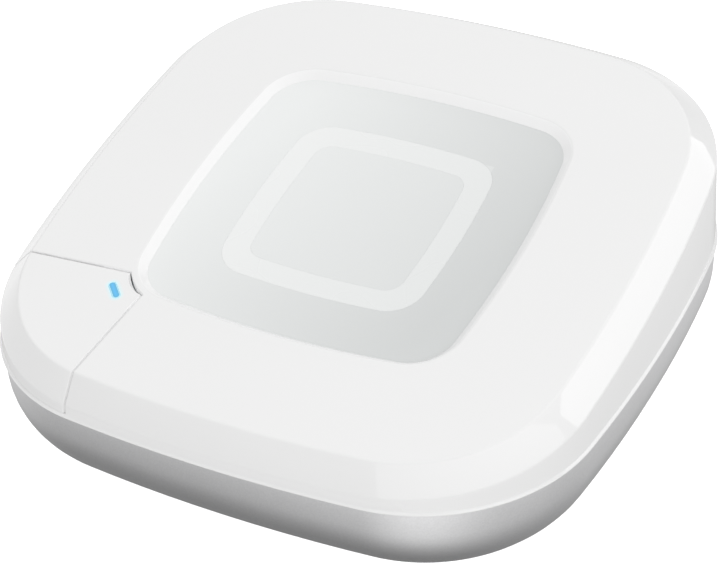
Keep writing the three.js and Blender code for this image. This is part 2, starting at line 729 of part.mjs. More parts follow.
function backupBattery() {
  const { width, depth, radius, height, bevel } = battery;
  const cell = new THREE.ExtrudeGeometry(roundedRectangle(width, depth, radius), {
    depth: height,
    bevelThickness: bevel,
    bevelSize: bevel,
    bevelOffset: -bevel,
    bevelSegments: 1,
    curveSegments: 3,
  });
  return cell.translate(0, 0, footDrop + wall + gap + bevel);
}

/** The label's outline, grown by a clearance. */
function labelShape(grow) {
  return roundedRectangle(label.width + 2 * grow, label.depth + 2 * grow, label.radius + grow);
}

function ratingLabel() {
  return raised(labelShape(0), footDrop + gap, label.thickness, 3);
}

// ---------------------------------------------------------------- assembly

function paint(color, roughness, metalness = 0) {
  return { color, roughness, metalness };
}

const finishes = {
  whiteShell: paint(0xf1f1f1, 0.25),
  silverBase: paint(0xb4b4b4, 0.4),
  panel: paint(0xe3e6e4, 0.45),
  diffuser: paint(0xf0f2f1, 0.35),
  clearBlue: paint(0x63bdea, 0.15),
  greyPlastic: paint(0x6d7073, 0.5),
  blackPlastic: paint(0x1d1e20, 0.45),
  rubber: paint(0x3a3b3c, 0.9),
  board: paint(0x1f6b45, 0.5),
  steel: paint(0xb9bcc0, 0.3, 1),
  aluminium: paint(0xc9ccd0, 0.35, 1),
  gold: paint(0xd6b35a, 0.3, 1),
  lamp: paint(0xfbf7e2, 0.3),
  cell: paint(0x2f4f8f, 0.4),
  label: paint(0xdedede, 0.6),
  ribbon: paint(0xe9e4d4, 0.5),
};

const hub = new THREE.Group();

function addPiece(name, geometry, finish) {
  const clean = weld(geometry);
  clean.computeVertexNormals();
  const mesh = new THREE.Mesh(clean, new THREE.MeshStandardMaterial(finish));
  mesh.name = name;
  hub.add(mesh);
}

addPiece('base_shell', baseShell(), finishes.silverBase);
addPiece('top_cover', topCover(), finishes.whiteShell);
addPiece('corner_button', cornerButton(), finishes.whiteShell);
addPiece('button_light_pipe', lightPipe(), finishes.clearBlue);
addPiece('button_pivot_pin', pivotRod(pin.radius, pin.halfLength), finishes.steel);

addPiece('dish_panel', dishPanel(), finishes.panel);
addPiece('light_ring', lightRing(), finishes.diffuser);
addPiece('ring_light_board', ringLightBoard(), finishes.board);
for (let index = 0; index < 8; index += 1) {
  addPiece(`ring_lamp_${index + 1}`, ringLamp(index), finishes.lamp);
}

addPiece('main_board', mainBoard(), finishes.board);
addPiece('switch_body', switchBody(), finishes.blackPlastic);
addPiece('switch_plunger', switchPlunger(), finishes.greyPlastic);
addPiece('status_lamp', statusLamp(), finishes.lamp);
addPiece('processor', onBoard(blocks.processor), finishes.blackPlastic);
addPiece('heatsink', heatsink(), finishes.aluminium);
addPiece('memory_chip', onBoard(blocks.memoryChip), finishes.blackPlastic);
addPiece('radio_board', onBoard(blocks.radioBoard), finishes.board);
addPiece('radio_shield', onBoard(blocks.radioShield, blocks.radioBoard.height + gap), finishes.steel);
addPiece('wireless_shield', onBoard(blocks.wirelessShield), finishes.steel);
addPiece('aerial_left', aerial(-1), finishes.gold);
addPiece('aerial_right', aerial(1), finishes.gold);
addPiece('buzzer', buzzer(), finishes.blackPlastic);
addPiece('ribbon', ribbon(), finishes.ribbon);
addPiece('ribbon_socket_main', onBoard(blocks.ribbonSocket), finishes.blackPlastic);
addPiece('ribbon_socket_ring', ringSocket(), finishes.blackPlastic);

addPiece('port_bezel', portBezel(), finishes.greyPlastic);
addPiece('ethernet_jack', ethernetJack(), finishes.blackPlastic);
addPiece('ethernet_contacts', ethernetContacts(), finishes.gold);
addPiece('usb_shell', usbShell(), finishes.steel);
addPiece('usb_tongue', usbTongue(), finishes.blackPlastic);
addPiece('power_jack', powerJack(), finishes.blackPlastic);
addPiece('power_pin', powerPin(), finishes.steel);
addPiece('reset_button', resetButton(), finishes.blackPlastic);
addPiece('reset_switch', resetSwitch(), finishes.blackPlastic);

addPiece('backup_battery', backupBattery(), finishes.cell);
addPiece('rating_label', ratingLabel(), finishes.label);
screwPlaces.forEach(([x, y], k) => addPiece(`cover_screw_${k + 1}`, coverScrew(x, y), finishes.steel));
footPlaces().forEach(([x, y], k) => addPiece(`rubber_foot_${k + 1}`, rubberFoot(x, y), finishes.rubber));

export default hub;
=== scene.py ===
"""Looks of the smart home hub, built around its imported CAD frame. Millimetres become metres through MM."""

import json
from math import atan2, copysign, cos, pi, radians, sin, sqrt, tan
from types import SimpleNamespace as Sizes

import bmesh
import bpy
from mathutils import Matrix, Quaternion, Vector
from mathutils.geometry import tessellate_polygon


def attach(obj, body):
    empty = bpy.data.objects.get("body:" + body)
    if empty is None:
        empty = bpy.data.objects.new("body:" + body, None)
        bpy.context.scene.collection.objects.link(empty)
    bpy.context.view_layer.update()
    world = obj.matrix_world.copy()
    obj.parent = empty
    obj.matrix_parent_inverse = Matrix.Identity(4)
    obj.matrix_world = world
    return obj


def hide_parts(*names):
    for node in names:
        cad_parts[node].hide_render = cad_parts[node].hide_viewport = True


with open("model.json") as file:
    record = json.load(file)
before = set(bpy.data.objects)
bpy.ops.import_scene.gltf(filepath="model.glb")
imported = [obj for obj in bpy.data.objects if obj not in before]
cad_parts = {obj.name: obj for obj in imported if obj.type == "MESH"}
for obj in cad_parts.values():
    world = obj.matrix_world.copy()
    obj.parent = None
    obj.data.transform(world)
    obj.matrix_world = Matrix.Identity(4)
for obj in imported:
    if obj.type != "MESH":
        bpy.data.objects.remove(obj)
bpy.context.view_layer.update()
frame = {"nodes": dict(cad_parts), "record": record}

MM = 0.001

# ---- camera, floor and light

CAMERA = Sizes(azimuth=29.84, elevation=37.0, roll=-4.145, distance=490 * MM, lens=113.88, sensor=36,
               near=0.01, far=50)
CAMERA_TARGET = Vector((4.82, -10.54, 30.0)) * MM
# Soft boxes: azimuth, elevation, width and height in degrees as the hub sees them, and radiance.
SOFTBOXES = {"right_softbox": (43, 22, 50, 20, 1.76), "front_softbox": (-44, 30, 92, 26, 0.86)}
SOFTBOX_DISTANCE = 1.0
SOFTBOX_AIM = Vector((0, 0, 0.03))


def placed(name, data):
    """A new object in the scene."""
    made = bpy.data.objects.new(name, data)
    bpy.context.scene.collection.objects.link(made)
    return made


def direction(azimuth, elevation):
    """Unit vector towards a place on the sky: azimuth is counted from +X towards +Y, in degrees."""
    a, e = radians(azimuth), radians(elevation)
    return Vector((cos(a) * cos(e), sin(a) * cos(e), sin(e)))


def make_camera():
    back = direction(CAMERA.azimuth - 90, CAMERA.elevation)
    data = bpy.data.cameras.new("camera")
    data.lens = CAMERA.lens
    data.sensor_width = CAMERA.sensor
    data.clip_start, data.clip_end = CAMERA.near, CAMERA.far
    camera = placed("camera", data)
    camera.location = CAMERA_TARGET + back * CAMERA.distance
    camera.rotation_mode = "QUATERNION"
    level = (-back).to_track_quat("-Z", "Y")
    camera.rotation_quaternion = level @ Quaternion((0, 0, 1), radians(CAMERA.roll))
    bpy.context.scene.camera = camera


def softbox(name, azimuth, elevation, wide, high, radiance):
    """A rectangular area light facing the hub."""
    data = bpy.data.lights.new(name, "AREA")
    data.shape = "RECTANGLE"
    data.size = 2 * SOFTBOX_DISTANCE * tan(radians(wide / 2))
    data.size_y = 2 * SOFTBOX_DISTANCE * tan(radians(high / 2))
    data.energy = radiance * pi * data.size * data.size_y
    lamp = placed(name, data)
    towards = direction(azimuth, elevation)
    lamp.location = towards * SOFTBOX_DISTANCE + SOFTBOX_AIM
    lamp.rotation_mode = "QUATERNION"
    lamp.rotation_quaternion = towards.to_track_quat("Z", "Y")


class Nodes:
    """Short forms for building a node tree."""

    def __init__(self, tree):
        self.tree = tree
        tree.nodes.clear()

    def add(self, kind, inputs=None, **settings):
        node = self.tree.nodes.new("ShaderNode" + kind)
        for key, value in settings.items():
            setattr(node, key, value)
        for key, value in (inputs or {}).items():
            self.set(node, key, value)
        return node

    def set(self, node, key, value):
        socket = node.inputs[key]
        if isinstance(value, bpy.types.NodeSocket):
            self.tree.links.new(value, socket)
        elif socket.type == "RGBA" and len(value) == 3:
            socket.default_value = (*value, 1)
        else:
            socket.default_value = value

    def ramp(self, factor, stops):
        """A colour ramp of grey or coloured stops: (place, value)."""
        node = self.add("ValToRGB", {"Fac": factor})
        elements = node.color_ramp.elements
        while len(elements) < len(stops):
            elements.new(0.5)
        for element, (place, value) in zip(elements, stops):
            element.position = place
            grey = isinstance(value, (int, float))
            element.color = (value, value, value, 1) if grey else (*value, 1)
        return node.outputs["Color"]

    def math(self, operation, a, b=0.0):
        return self.add("Math", {0: a, 1: b}, operation=operation).outputs[0]

    def blend(self, value, factor, offset):
        """value * factor + offset"""
        inputs = {0: value, 1: factor, 2: offset}
        return self.add("Math", inputs, operation="MULTIPLY_ADD").outputs[0]

    def dot(self, vector, towards):
        return self.add("VectorMath", {0: vector, 1: towards}, operation="DOT_PRODUCT").outputs["Value"]

    def mix(self, factor, a, b):
        node = self.add("Mix", data_type="RGBA")
        self.set(node, 0, factor)
        self.set(node, 6, a)
        self.set(node, 7, b)
        return node.outputs[2]


# Light around the hub: the sine of the elevation, and the radiance there.
SKY = [(-0.75, 0.0), (-0.5, 0.43), (-0.25, 0.77), (0.0, 0.44), (0.3, 0.16), (0.65, 0.99), (1.0, 0.95)]
# Soft glows on it: azimuth, elevation, tightness and radiance. The low ones stand for light off the table.
GLOWS = [
    (-70, -37, 8.0, 0.91),
    (0, -37, 8.0, 0.34),
    (70, -37, 8.0, 0.39),
    (160, -12, 4.0, 0.50),
    (-100, 30, 4.0, 0.12),
]
# The floor: how much light it sends back, how much it glows, and half its side in metres.
PAPER = Sizes(diffuse=0.8, glow=0.85, half=4.0)


def make_world():
    """Pale studio. It shows to the camera as plain white."""
    world = bpy.data.worlds.new("studio")
    bpy.context.scene.world = world
    world.use_nodes = True
    n = Nodes(world.node_tree)
    towards = n.add("TexCoord").outputs["Generated"]
    split = n.add("SeparateXYZ", {0: towards})
    height = n.blend(split.outputs["Z"], 0.5, 0.5)
    light = n.ramp(height, [((z + 1) / 2, radiance) for z, radiance in SKY])
    for azimuth, elevation, tightness, radiance in GLOWS:
        near = n.dot(towards, direction(azimuth, elevation))
        glow = n.math("EXPONENT", n.blend(near, tightness, -tightness))
        light = n.math("ADD", light, n.math("MULTIPLY", glow, radiance))
    seen = n.add("LightPath").outputs["Is Camera Ray"]
    background = n.add("Background", {"Color": n.mix(seen, light, (1, 1, 1))})
    n.add("OutputWorld", {"Surface": background.outputs[0]})


def make_floor():
    """Plain white floor. It shows to the camera from above only. It lights nothing and throws no shadow."""
    mesh = bpy.data.meshes.new("floor")
    half = PAPER.half
    corners = [(-half, -half, 0), (half, -half, 0), (half, half, 0), (-half, half, 0)]
    mesh.from_pydata(corners, [], [(0, 1, 2, 3)])
    floor = placed("floor", mesh)
    material = bpy.data.materials.new("floor_paper")
    material.use_nodes = True
    n = Nodes(material.node_tree)
    paper = n.add("BsdfDiffuse", {"Color": (PAPER.diffuse,) * 3})
    glow = n.add("Emission", {"Color": (1, 1, 1), "Strength": PAPER.glow})
    both = n.add("AddShader", {0: paper.outputs[0], 1: glow.outputs[0]})
    clear = n.add("BsdfTransparent")
    underneath = n.add("NewGeometry").outputs["Backfacing"]
    shader = n.add("MixShader", {0: underneath, 1: both.outputs[0], 2: clear.outputs[0]})
    n.add("OutputMaterial", {"Surface": shader.outputs[0]})
    mesh.materials.append(material)
    for ray in ("diffuse", "glossy", "transmission", "shadow"):
        setattr(floor, f"visible_{ray}", False)


bpy.context.scene.view_settings.view_transform = "Standard"
make_camera()
make_world()
make_floor()
for name, setting in SOFTBOXES.items():
    softbox(name, *setting)

# ---- driving dimensions, in millimetres

QUARTER = pi / 2
FOOT_DROP = 1.0
PARTING_Z = 23.3
WALL = 2.2
SLOPE = 0.162
FACE_RISE = 19.24
BAND_RISE = 13.93
BAND_INSET = 0.87
FACE_INSET = 6.3
INNER_BAND_DROP = 0.9
LIP = Sizes(low=0.3, height=0.75, step=0.48)
EDGE_ROUND = Sizes(band=0.35, face=0.4, rim=0.5, seam=0.36, hole=0.2, lip_low=0.1, lip_high=0.12,
                   base=0.25, tongue=0.2)
# Between parts that meet without touching.
GAP = 0.1
# A corner this far past a rounded one gives the rounding its direction, and isn't part of the shape.
GUIDE = 3

BASE = Sizes(inset=0.6, band=5.8)
BASE_ROUND = PARTING_Z - FOOT_DROP - BASE.band
TONGUE = Sizes(inset=2.9, width=1.2, height=1.2)

DISH_WALL = Sizes(drop=1.6, run=1.9)
DISH_DEPTH = 3.0
# Painted light makes the panel paler inside the ring: half the width of that area, and how much paler it is.
PAINTED_DISH_MIDDLE_LIGHT = Sizes(half=22.0, share=0.35)
# Painted light on the wall of the dish, which is painted paler: how far out it is looked for, how deep it
# starts, and its tone.
DISH_WALL_PAINTED_LIGHT = Sizes(reach=44.0, depth=0.12, tone=0.955)
LEDGE = Sizes(reach=1.0, drop=2.9)
PANEL = Sizes(thickness=1.4, flange=1.7, peg=28.0, peg_radius=2.0)
RING = Sizes(inlay=1.0, gap=0.02)
PANEL_SEAM = 0.005
RING_BOARD_DEPTH = 8.0

ARC_RADIUS = 13.5
ARC_BULGE = 0.5
SEAM_GAP = 0.35
# Outline angles near the seams' lower ends and how far round the cover's rows are bent to meet the seams, in
# degrees, and how clear of the seams the nearest of the outline's own steps stays, in radians.
SEAM_ENDS = Sizes(left=-170.5, front=-96.5, fade=20, clear=0.03)
SKIRT_GAP = 0.08
# The lip in the seam: where it starts and ends across the gap, how deep its top and end are, and how it dips
# along the arc.
SEAM_LIP = Sizes(near=0.45, far=0.16, arc_reach=0.27, depth=0.36, end=1.1, arc_sink=0.85, lift=0.03)
INDICATOR = Sizes(along=55.5, across=1.73, length=5.0, width=1.7, clearance=0.03, bevel=0.15)
HALO_REACH = 4.0  # the distance that the stops of the halo's ramp are shares of
SCREW_PLACES = [(-45.5, -18), (45.5, -18), (-45.5, 28), (45.5, 28)]
SCREW = Sizes(seat=8.0, tip=28.0, bore=1.5, counterbore=3.2, boss=4.7, pillar=3.0)
BOARD_Z = 23.2
FOOT = Sizes(place=36.0, radius=6.0, pocket=0.8)
VENT = Sizes(rows=(-33, 33), count=9, pitch=6.0, width=2.0, length=14.0)
LABEL = Sizes(width=44.0, depth=26.0, radius=2.0, thickness=0.3, pocket=0.5, gap=0.2, bevel=0.08,
              margin=4)
SOCKET_FACE_Y = 65.2
TUNNEL_PAST = 5
WINDOW = Sizes(half=30.0, low=25.2, high=39.0, radius=1.2)
POST = Sizes(along=61.5, radius=2.0, low=30.15)
BEZEL = Sizes(edge=0.25, steps=36, corner=0.5)
# Openings in the bezel: centre along X, centre height, width and height. The round ones have a radius.
ETHERNET_HOLE = (-19.0, 31.5, 12.6, 11.2)
USB_HOLE = (0.0, 28.7, 13.6, 6.0)
POWER_HOLE = (22.0, 31.2, 4.0)
RESET_HOLE = (11.5, 27.6, 1.5)
RESET = Sizes(back=59.3, front=68.3, radius=1.2, flange=2.0, flange_from=63.0, flange_to=64.2)
FOUR_CORNERS = ((-1, -1), (1, -1), (-1, 1), (1, 1))
SCREW_HEAD = Sizes(radius=2.7, height=2.0, shank=1.3, slot=1.5, slot_half=0.4, slot_depth=1.0)

# How finely curves are cut: bowed sides, corners, rounded edges, the arc seam, the round ends of slots, and
# the round of the base.
SIDE_STEPS, CORNER_STEPS, ROUND_STEPS, ARC_STEPS, END_STEPS, BASE_STEPS = 10, 30, 4, 24, 8, 14


def corner_place(along, across):
    """A place at the front-left corner: distance along the diagonal, and offset across it."""
    return Vector((across - along, -across - along)) / sqrt(2)


# ---- materials

materials = {}


class Surface(Nodes):
    """A material under construction. Its textures lie in the hub's own coordinates, in metres."""

    def __init__(self, name):
        material = materials[name] = bpy.data.materials.new(name)
        material.use_nodes = True
        super().__init__(material.node_tree)
        self.place = self.add("TexCoord").outputs["Object"]

    def noise(self, scale, detail=3.0, stretch=(1, 1, 1)):
        place = self.add("VectorMath", {0: self.place, 1: stretch}, operation="MULTIPLY").outputs[0]
        return self.add("TexNoise", {"Vector": place, "Scale": scale, "Detail": detail}).outputs["Fac"]

    def cells(self, scale, output="Distance"):
        return self.add("TexVoronoi", {"Vector": self.place, "Scale": scale}).outputs[output]

    def bands(self, scale, axis):
        inputs = {"Vector": self.place, "Scale": scale}
        return self.add("TexWave", inputs, bands_direction=axis).outputs["Fac"]

    def span(self, factor, low, high):
        """Stretches the usual 0.25..0.75 of a noise to low..high."""
        return self.add("MapRange", {
            "Value": factor, "From Min": 0.25, "From Max": 0.75, "To Min": low, "To Max": high,
        }).outputs[0]

    def finish(self, colour, roughness, relief=None, strength=0.1, depth=0.0001, constants=None):
        inputs = {"Base Color": colour, "Roughness": roughness, **(constants or {})}
        if relief is not None:
            bump = self.add("Bump", {"Height": relief, "Strength": strength, "Distance": depth})
            inputs["Normal"] = bump.outputs[0]
        shader = self.add("BsdfPrincipled", inputs)
        self.add("OutputMaterial", {"Surface": shader.outputs[0]})


def darker(colour, share):
    return tuple(c * (1 - share) for c in colour)


def moulded(name, colour, roughness, grain, scale, strength):
    """Moulded plastic or rubber: the mould's fine texture in relief and gloss, and slow drifts of colour."""
    s = Surface(name)
    texture = s.noise(scale)
    shade = s.mix(s.noise(30.0, 2.0), darker(colour, grain), colour)
    s.finish(shade, s.span(texture, roughness * 0.85, roughness * 1.15), texture, strength, 0.00005)


def indicator_distance(s):
    """Distance from the indicator's long axis, in millimetres."""
    middle = corner_place(INDICATOR.along, INDICATOR.across) * MM
    reach = (INDICATOR.length - INDICATOR.width) / 2
    offset = s.add("VectorMath", {0: s.place, 1: (*middle, 0)}, operation="SUBTRACT").outputs[0]
    half = sqrt(0.5) / MM
    along = s.math("ABSOLUTE", s.dot(offset, (half, -half, 0)))
    past = s.math("MAXIMUM", s.math("SUBTRACT", along, reach), 0.0)
    across = s.dot(offset, (half, half, 0))
    return s.math("SQRT", s.math("ADD", s.math("POWER", past, 2.0), s.math("MULTIPLY", across, across)))


def within_square(s, half):
    """1 inside an upright square prism round the hub's centre, 0 outside. Half is in millimetres."""
    sideways = s.math("ABSOLUTE", s.dot(s.place, (1 / MM, 0, 0)))
    lengthways = s.math("ABSOLUTE", s.dot(s.place, (0, 1 / MM, 0)))
    return s.math("LESS_THAN", s.math("MAXIMUM", sideways, lengthways), half)


def painted_light_wall_share(s):
    """Mask of the painted light: 1 on the sloped wall round the dish and on all that lies under it, 0
    elsewhere on the cover.
    """
    near = within_square(s, DISH_WALL_PAINTED_LIGHT.reach)
    height = s.dot(s.place, (0, -SLOPE / MM, 1 / MM))
    low = s.math("LESS_THAN", height, PARTING_Z + FACE_RISE - DISH_WALL_PAINTED_LIGHT.depth)
    return s.math("MULTIPLY", near, low)


def gloss_white(name, halo=False):
    """Gloss white plastic with a faint orange peel, and painted light that makes the dish's wall and the
    seam edges near it paler. The halo is a pale cyan glow round the indicator.
    """
    s = Surface(name)
    peel = s.noise(260.0, 2.0)
    shade = s.mix(s.noise(25.0, 2.0), (0.87, 0.87, 0.868), (0.885, 0.885, 0.885))
    # Painted light: the dish's wall, and all under it within reach, is painted a paler white.
    shade = s.mix(painted_light_wall_share(s), shade, (DISH_WALL_PAINTED_LIGHT.tone,) * 3)
    rough = s.span(s.noise(90.0, 4.0), 0.022, 0.036)
    glow = {}
    if halo:
        far = s.math("MULTIPLY", indicator_distance(s), 1 / HALO_REACH)
        fade = s.ramp(far, [(0.21, 1.0), (0.3, 0.45), (0.45, 0.0)])
        shade = s.mix(fade, shade, (0.66, 0.90, 0.95))
        glow = {"Emission Color": (0.25, 0.8, 1.0), "Emission Strength": s.math("MULTIPLY", fade, 0.09)}
    s.finish(shade, rough, peel, 0.03, 0.00005, glow)


def silver_paint():
    """Silver lacquer with fine metal flakes."""
    s = Surface("silver_base")
    flakes = s.cells(3200.0, "Color")
    tone = s.dot(flakes, (0.33, 0.33, 0.34))
    shade = s.mix(s.span(tone, 0.0, 1.0), (0.735, 0.735, 0.741), (0.775, 0.775, 0.781))
    rough = s.blend(s.noise(60.0, 3.0), 0.03, 0.355)
    s.finish(shade, rough, s.noise(1800.0, 2.0), 0.01, 0.00003, {"Metallic": 0.8})


def painted_side_shade(s, dark, pale):
    """Painted shade: a colour that goes from dark at the right, a little to the front, to pale at the left.
    """
    lean = s.blend(s.dot(s.place, (-31.0, 9.0, 0)), 0.09, 0.5)
    return s.mix(s.ramp(lean, [(0.4, 0.0), (0.6, 1.0)]), dark, pale)


def dish_satin():
    """Satin, slightly cool white of the dish, with painted shade that makes it greyer to the right and
    painted light that makes it paler in the middle.
    """
    s = Surface("dish_plastic")
    texture = s.noise(2200.0, 2.0)
    pale = (0.86, 0.875, 0.87)
    # Painted shade: darker towards the front right.
    shade = painted_side_shade(s, (0.66, 0.675, 0.672), pale)
    # Painted light: the panel is painted paler inside the ring.
    middle = s.math("MULTIPLY", within_square(s, PAINTED_DISH_MIDDLE_LIGHT.half), PAINTED_DISH_MIDDLE_LIGHT.share)
    shade = s.mix(middle, shade, pale)
    s.finish(shade, s.span(texture, 0.29, 0.36), texture, 0.04, 0.00004, {"Metallic": 0.1})


def ring_lens():
    """White diffuser with a faint milky cloudiness, and painted shade that makes it greyer to the right."""
    s = Surface("ring_diffuser")
    cloud = s.noise(60.0, 1.0)
    # Painted shade: darker towards the front right.
    shade = painted_side_shade(s, (0.80, 0.815, 0.81), (0.89, 0.90, 0.895))
    shade = s.mix(s.math("MULTIPLY", cloud, 0.02), shade, (0.95, 0.96, 0.955))
    s.finish(shade, s.span(cloud, 0.26, 0.29), cloud, 0.02, 0.00003)


def lit_pipe():
    """Blue light pipe, lit from below: blue core, pale towards its rim."""
    s = Surface("blue_light_pipe")
    far = s.math("ADD", indicator_distance(s), s.math("MULTIPLY", s.noise(900.0, 2.0), 0.1))
    body = s.ramp(far, [(0.0, (0.05, 0.2, 0.4)), (0.64, (0.05, 0.2, 0.34)), (0.8, (0.5, 0.7, 0.76))])
    light = s.ramp(far, [(0.0, (0.07, 0.33, 0.55)), (0.64, (0.07, 0.26, 0.38)), (0.8, (0.1, 0.2, 0.24))])
    constants = {"Emission Color": light, "Emission Strength": 1.0}
    s.finish(body, s.span(s.noise(700.0), 0.12, 0.18), constants=constants)


def solder_mask():
    """Circuit board: green mask over copper tracks, with tinned pads."""
    s = Surface("circuit_board")
    choice = s.dot(s.cells(260.0, "Color"), (1, 0, 0))
    lengthways, crossways = s.bands(420.0, "X"), s.bands(420.0, "Y")
    track = s.mix(s.ramp(choice, [(0.48, 0.0), (0.52, 1.0)]), lengthways, crossways)
    copper = s.ramp(track, [(0.55, 0.0), (0.62, 1.0)])
    pad = s.ramp(s.cells(330.0), [(0.16, 1.0), (0.19, 0.0)])
    shade = s.mix(copper, (0.012, 0.13, 0.055), (0.03, 0.22, 0.09))
    shade = s.mix(pad, shade, (0.62, 0.6, 0.55))
    s.finish(shade, s.span(s.noise(500.0), 0.25, 0.38), copper, 0.3, 0.00003)


def metal(name, colour, roughness, stretch):
    """Metal with the fine lines that rolling or extruding leaves."""
    s = Surface(name)
    lines = s.noise(1200.0, 4.0, stretch)
    shade = s.mix(s.noise(90.0), darker(colour, 0.12), colour)
    rough = s.span(lines, roughness * 0.75, roughness * 1.25)
    s.finish(shade, rough, lines, 0.08, 0.00004, {"Metallic": 1.0})


def lamp_resin():
    """Yellow phosphor in a clear resin."""
    s = Surface("lamp")
    grains = s.noise(3000.0, 2.0)
    shade = s.mix(grains, (0.93, 0.80, 0.28), (0.97, 0.90, 0.55))
    s.finish(shade, s.span(grains, 0.1, 0.2), grains, 0.05, 0.00003, {"Coat Weight": 0.6})


def shrink_film():
    """Blue film shrunk round the battery, with long soft wrinkles."""
    s = Surface("battery_film")
    wrinkles = s.noise(160.0, 3.0, (0.25, 1, 1))
    shade = s.mix(wrinkles, (0.03, 0.09, 0.28), (0.06, 0.15, 0.42))
    s.finish(shade, s.span(wrinkles, 0.15, 0.3), wrinkles, 0.3, 0.0003)


def blank_label():
    """Blank silver-grey film with a printed frame."""
    s = Surface("label_film")
    split = s.add("SeparateXYZ", {0: s.place})
    past_x = s.math("SUBTRACT", s.math("ABSOLUTE", split.outputs["X"]), LABEL.width / 2 * MM)
    past_y = s.math("SUBTRACT", s.math("ABSOLUTE", split.outputs["Y"]), LABEL.depth / 2 * MM)
    edge = s.blend(s.math("MAXIMUM", past_x, past_y), -1 / (LABEL.margin * MM), 0.0)
    frame_line = s.ramp(edge, [(0.3, 0.0), (0.32, 1.0), (0.4, 1.0), (0.42, 0.0)])
    shade = s.mix(s.noise(4000.0, 1.0), (0.62, 0.62, 0.63), (0.72, 0.72, 0.73))
    shade = s.mix(frame_line, shade, (0.25, 0.25, 0.26))
    s.finish(shade, s.span(s.noise(300.0), 0.3, 0.42), s.noise(900.0), 0.04, 0.00004)


def flat_cable():
    """Flat cable: tinned strands side by side."""
    s = Surface("ribbon")
    strands = s.bands(320.0, "X")
    shade = s.mix(s.ramp(strands, [(0.35, 0.0), (0.5, 1.0)]), (0.82, 0.8, 0.72), (0.55, 0.54, 0.5))
    s.finish(shade, s.span(s.noise(400.0), 0.25, 0.4), strands, 0.3, 0.0001)


gloss_white("white_shell")
gloss_white("button_white", halo=True)
for make in (silver_paint, dish_satin, ring_lens, lit_pipe, solder_mask, lamp_resin, shrink_film,
             blank_label, flat_cable):
    make()
moulded("grey_plastic", (0.30, 0.31, 0.32), 0.42, 0.06, 2600.0, 0.25)
moulded("black_plastic", (0.028, 0.028, 0.03), 0.4, 0.1, 3000.0, 0.2)
moulded("rubber", (0.055, 0.055, 0.056), 0.75, 0.15, 1400.0, 0.35)
metal("steel", (0.62, 0.62, 0.63), 0.28, (0.06, 1, 1))
metal("aluminium", (0.78, 0.79, 0.8), 0.32, (1, 0.05, 1))
metal("contact_gold", (0.92, 0.68, 0.28), 0.2, (1, 0.1, 1))
for part in frame["record"]["subparts"]:
    node = frame["nodes"][part["node"]]
    node.data.materials.clear()
    node.data.materials.append(materials[part["material_slot"]])


# ---- outlines and profiles


def rotated(x, y, turn):
    """A place turned round the origin."""
    return x * cos(turn) - y * sin(turn), x * sin(turn) + y * cos(turn)


class Outline:
    """A rounded square with bowed sides: half width, corner radius, side radius, centre along Y."""

    def __init__(self, half, corner, side, centre_y=0.0):
        self.half, self.corner, self.side, self.centre_y = half, corner, side, centre_y
        reach = side - half
        self.centre = (sqrt(2 * (side - corner) ** 2 - reach ** 2) - reach) / 2
        self.side_angle = atan2(self.centre, self.centre + reach)

    def point(self, inset, angle):
        """The point whose outward normal has this angle, moved inwards by the inset."""
        quarter = round(angle / QUARTER)
        local = angle - quarter * QUARTER
        if abs(local) <= self.side_angle:
            middle, radius = Vector((self.half - self.side, 0)), self.side
        else:
            middle, radius = Vector((self.centre, copysign(self.centre, local))), self.corner
        spot = middle + (radius - inset) * Vector((cos(local), sin(local)))
        x, y = rotated(*spot, quarter * QUARTER)
        return Vector((x, y + self.centre_y))

    def angles(self):
        """Normal angles of one full turn, denser round the corners."""
        found = []
        for quarter in range(4):
            start = quarter * QUARTER
            found += [start + self.side_angle * (2 * k / SIDE_STEPS - 1) for k in range(SIDE_STEPS)]
            turn = QUARTER - 2 * self.side_angle
            found += [start + self.side_angle + turn * k / CORNER_STEPS for k in range(CORNER_STEPS)]
        return found


BODY = Outline(70, 38.2, 366)
FACE = Outline(70, 38.2, 366, -1.37)
DISH = Outline(39.6, 12, 240, -1.04)
RING_OUTER = Outline(24.6, 8, 200, -1.04)
RING_INNER = Outline(18.8, 4, 190, -1.04)


def face_z(y):
    """Height of the sloped top face."""
    return PARTING_Z + FACE_RISE + SLOPE * y


def below(depth):
    return lambda y: face_z(y) - depth


def parallel(rise):
    return lambda y: PARTING_Z + rise + SLOPE * y


def level(height):
    return lambda y: height


class Corner:
    """A corner of a profile: an outline at an inset and a height, and how far off its rounding starts."""

    def __init__(self, outline, inset, height, rounding=0.0):
        self.outline, self.inset, self.height, self.rounding = outline, inset, height, rounding

    def at(self, angle):
        spot = self.outline.point(self.inset, angle)
        return Vector((spot.x, spot.y, self.height(spot.y)))


def rounded_profile(corners, angle):
    """Points of a profile at one place of the outline. A rounded corner becomes a short curve."""
    points = [corner.at(angle) for corner in corners]
    found = []
    for k, (corner, point) in enumerate(zip(corners, points)):
        if corner.rounding == 0:
            found.append(point)
            continue
        start = point + (points[k - 1] - point).normalized() * corner.rounding
        end = point + (points[k + 1] - point).normalized() * corner.rounding
        found += [curve(start, point, end, i / ROUND_STEPS) for i in range(ROUND_STEPS + 1)]
    return found


def curve(start, middle, end, t):
    """Point of a quadratic curve."""
    return start * (1 - t) ** 2 + middle * (2 * t * (1 - t)) + end * t ** 2


# ---- mesh building


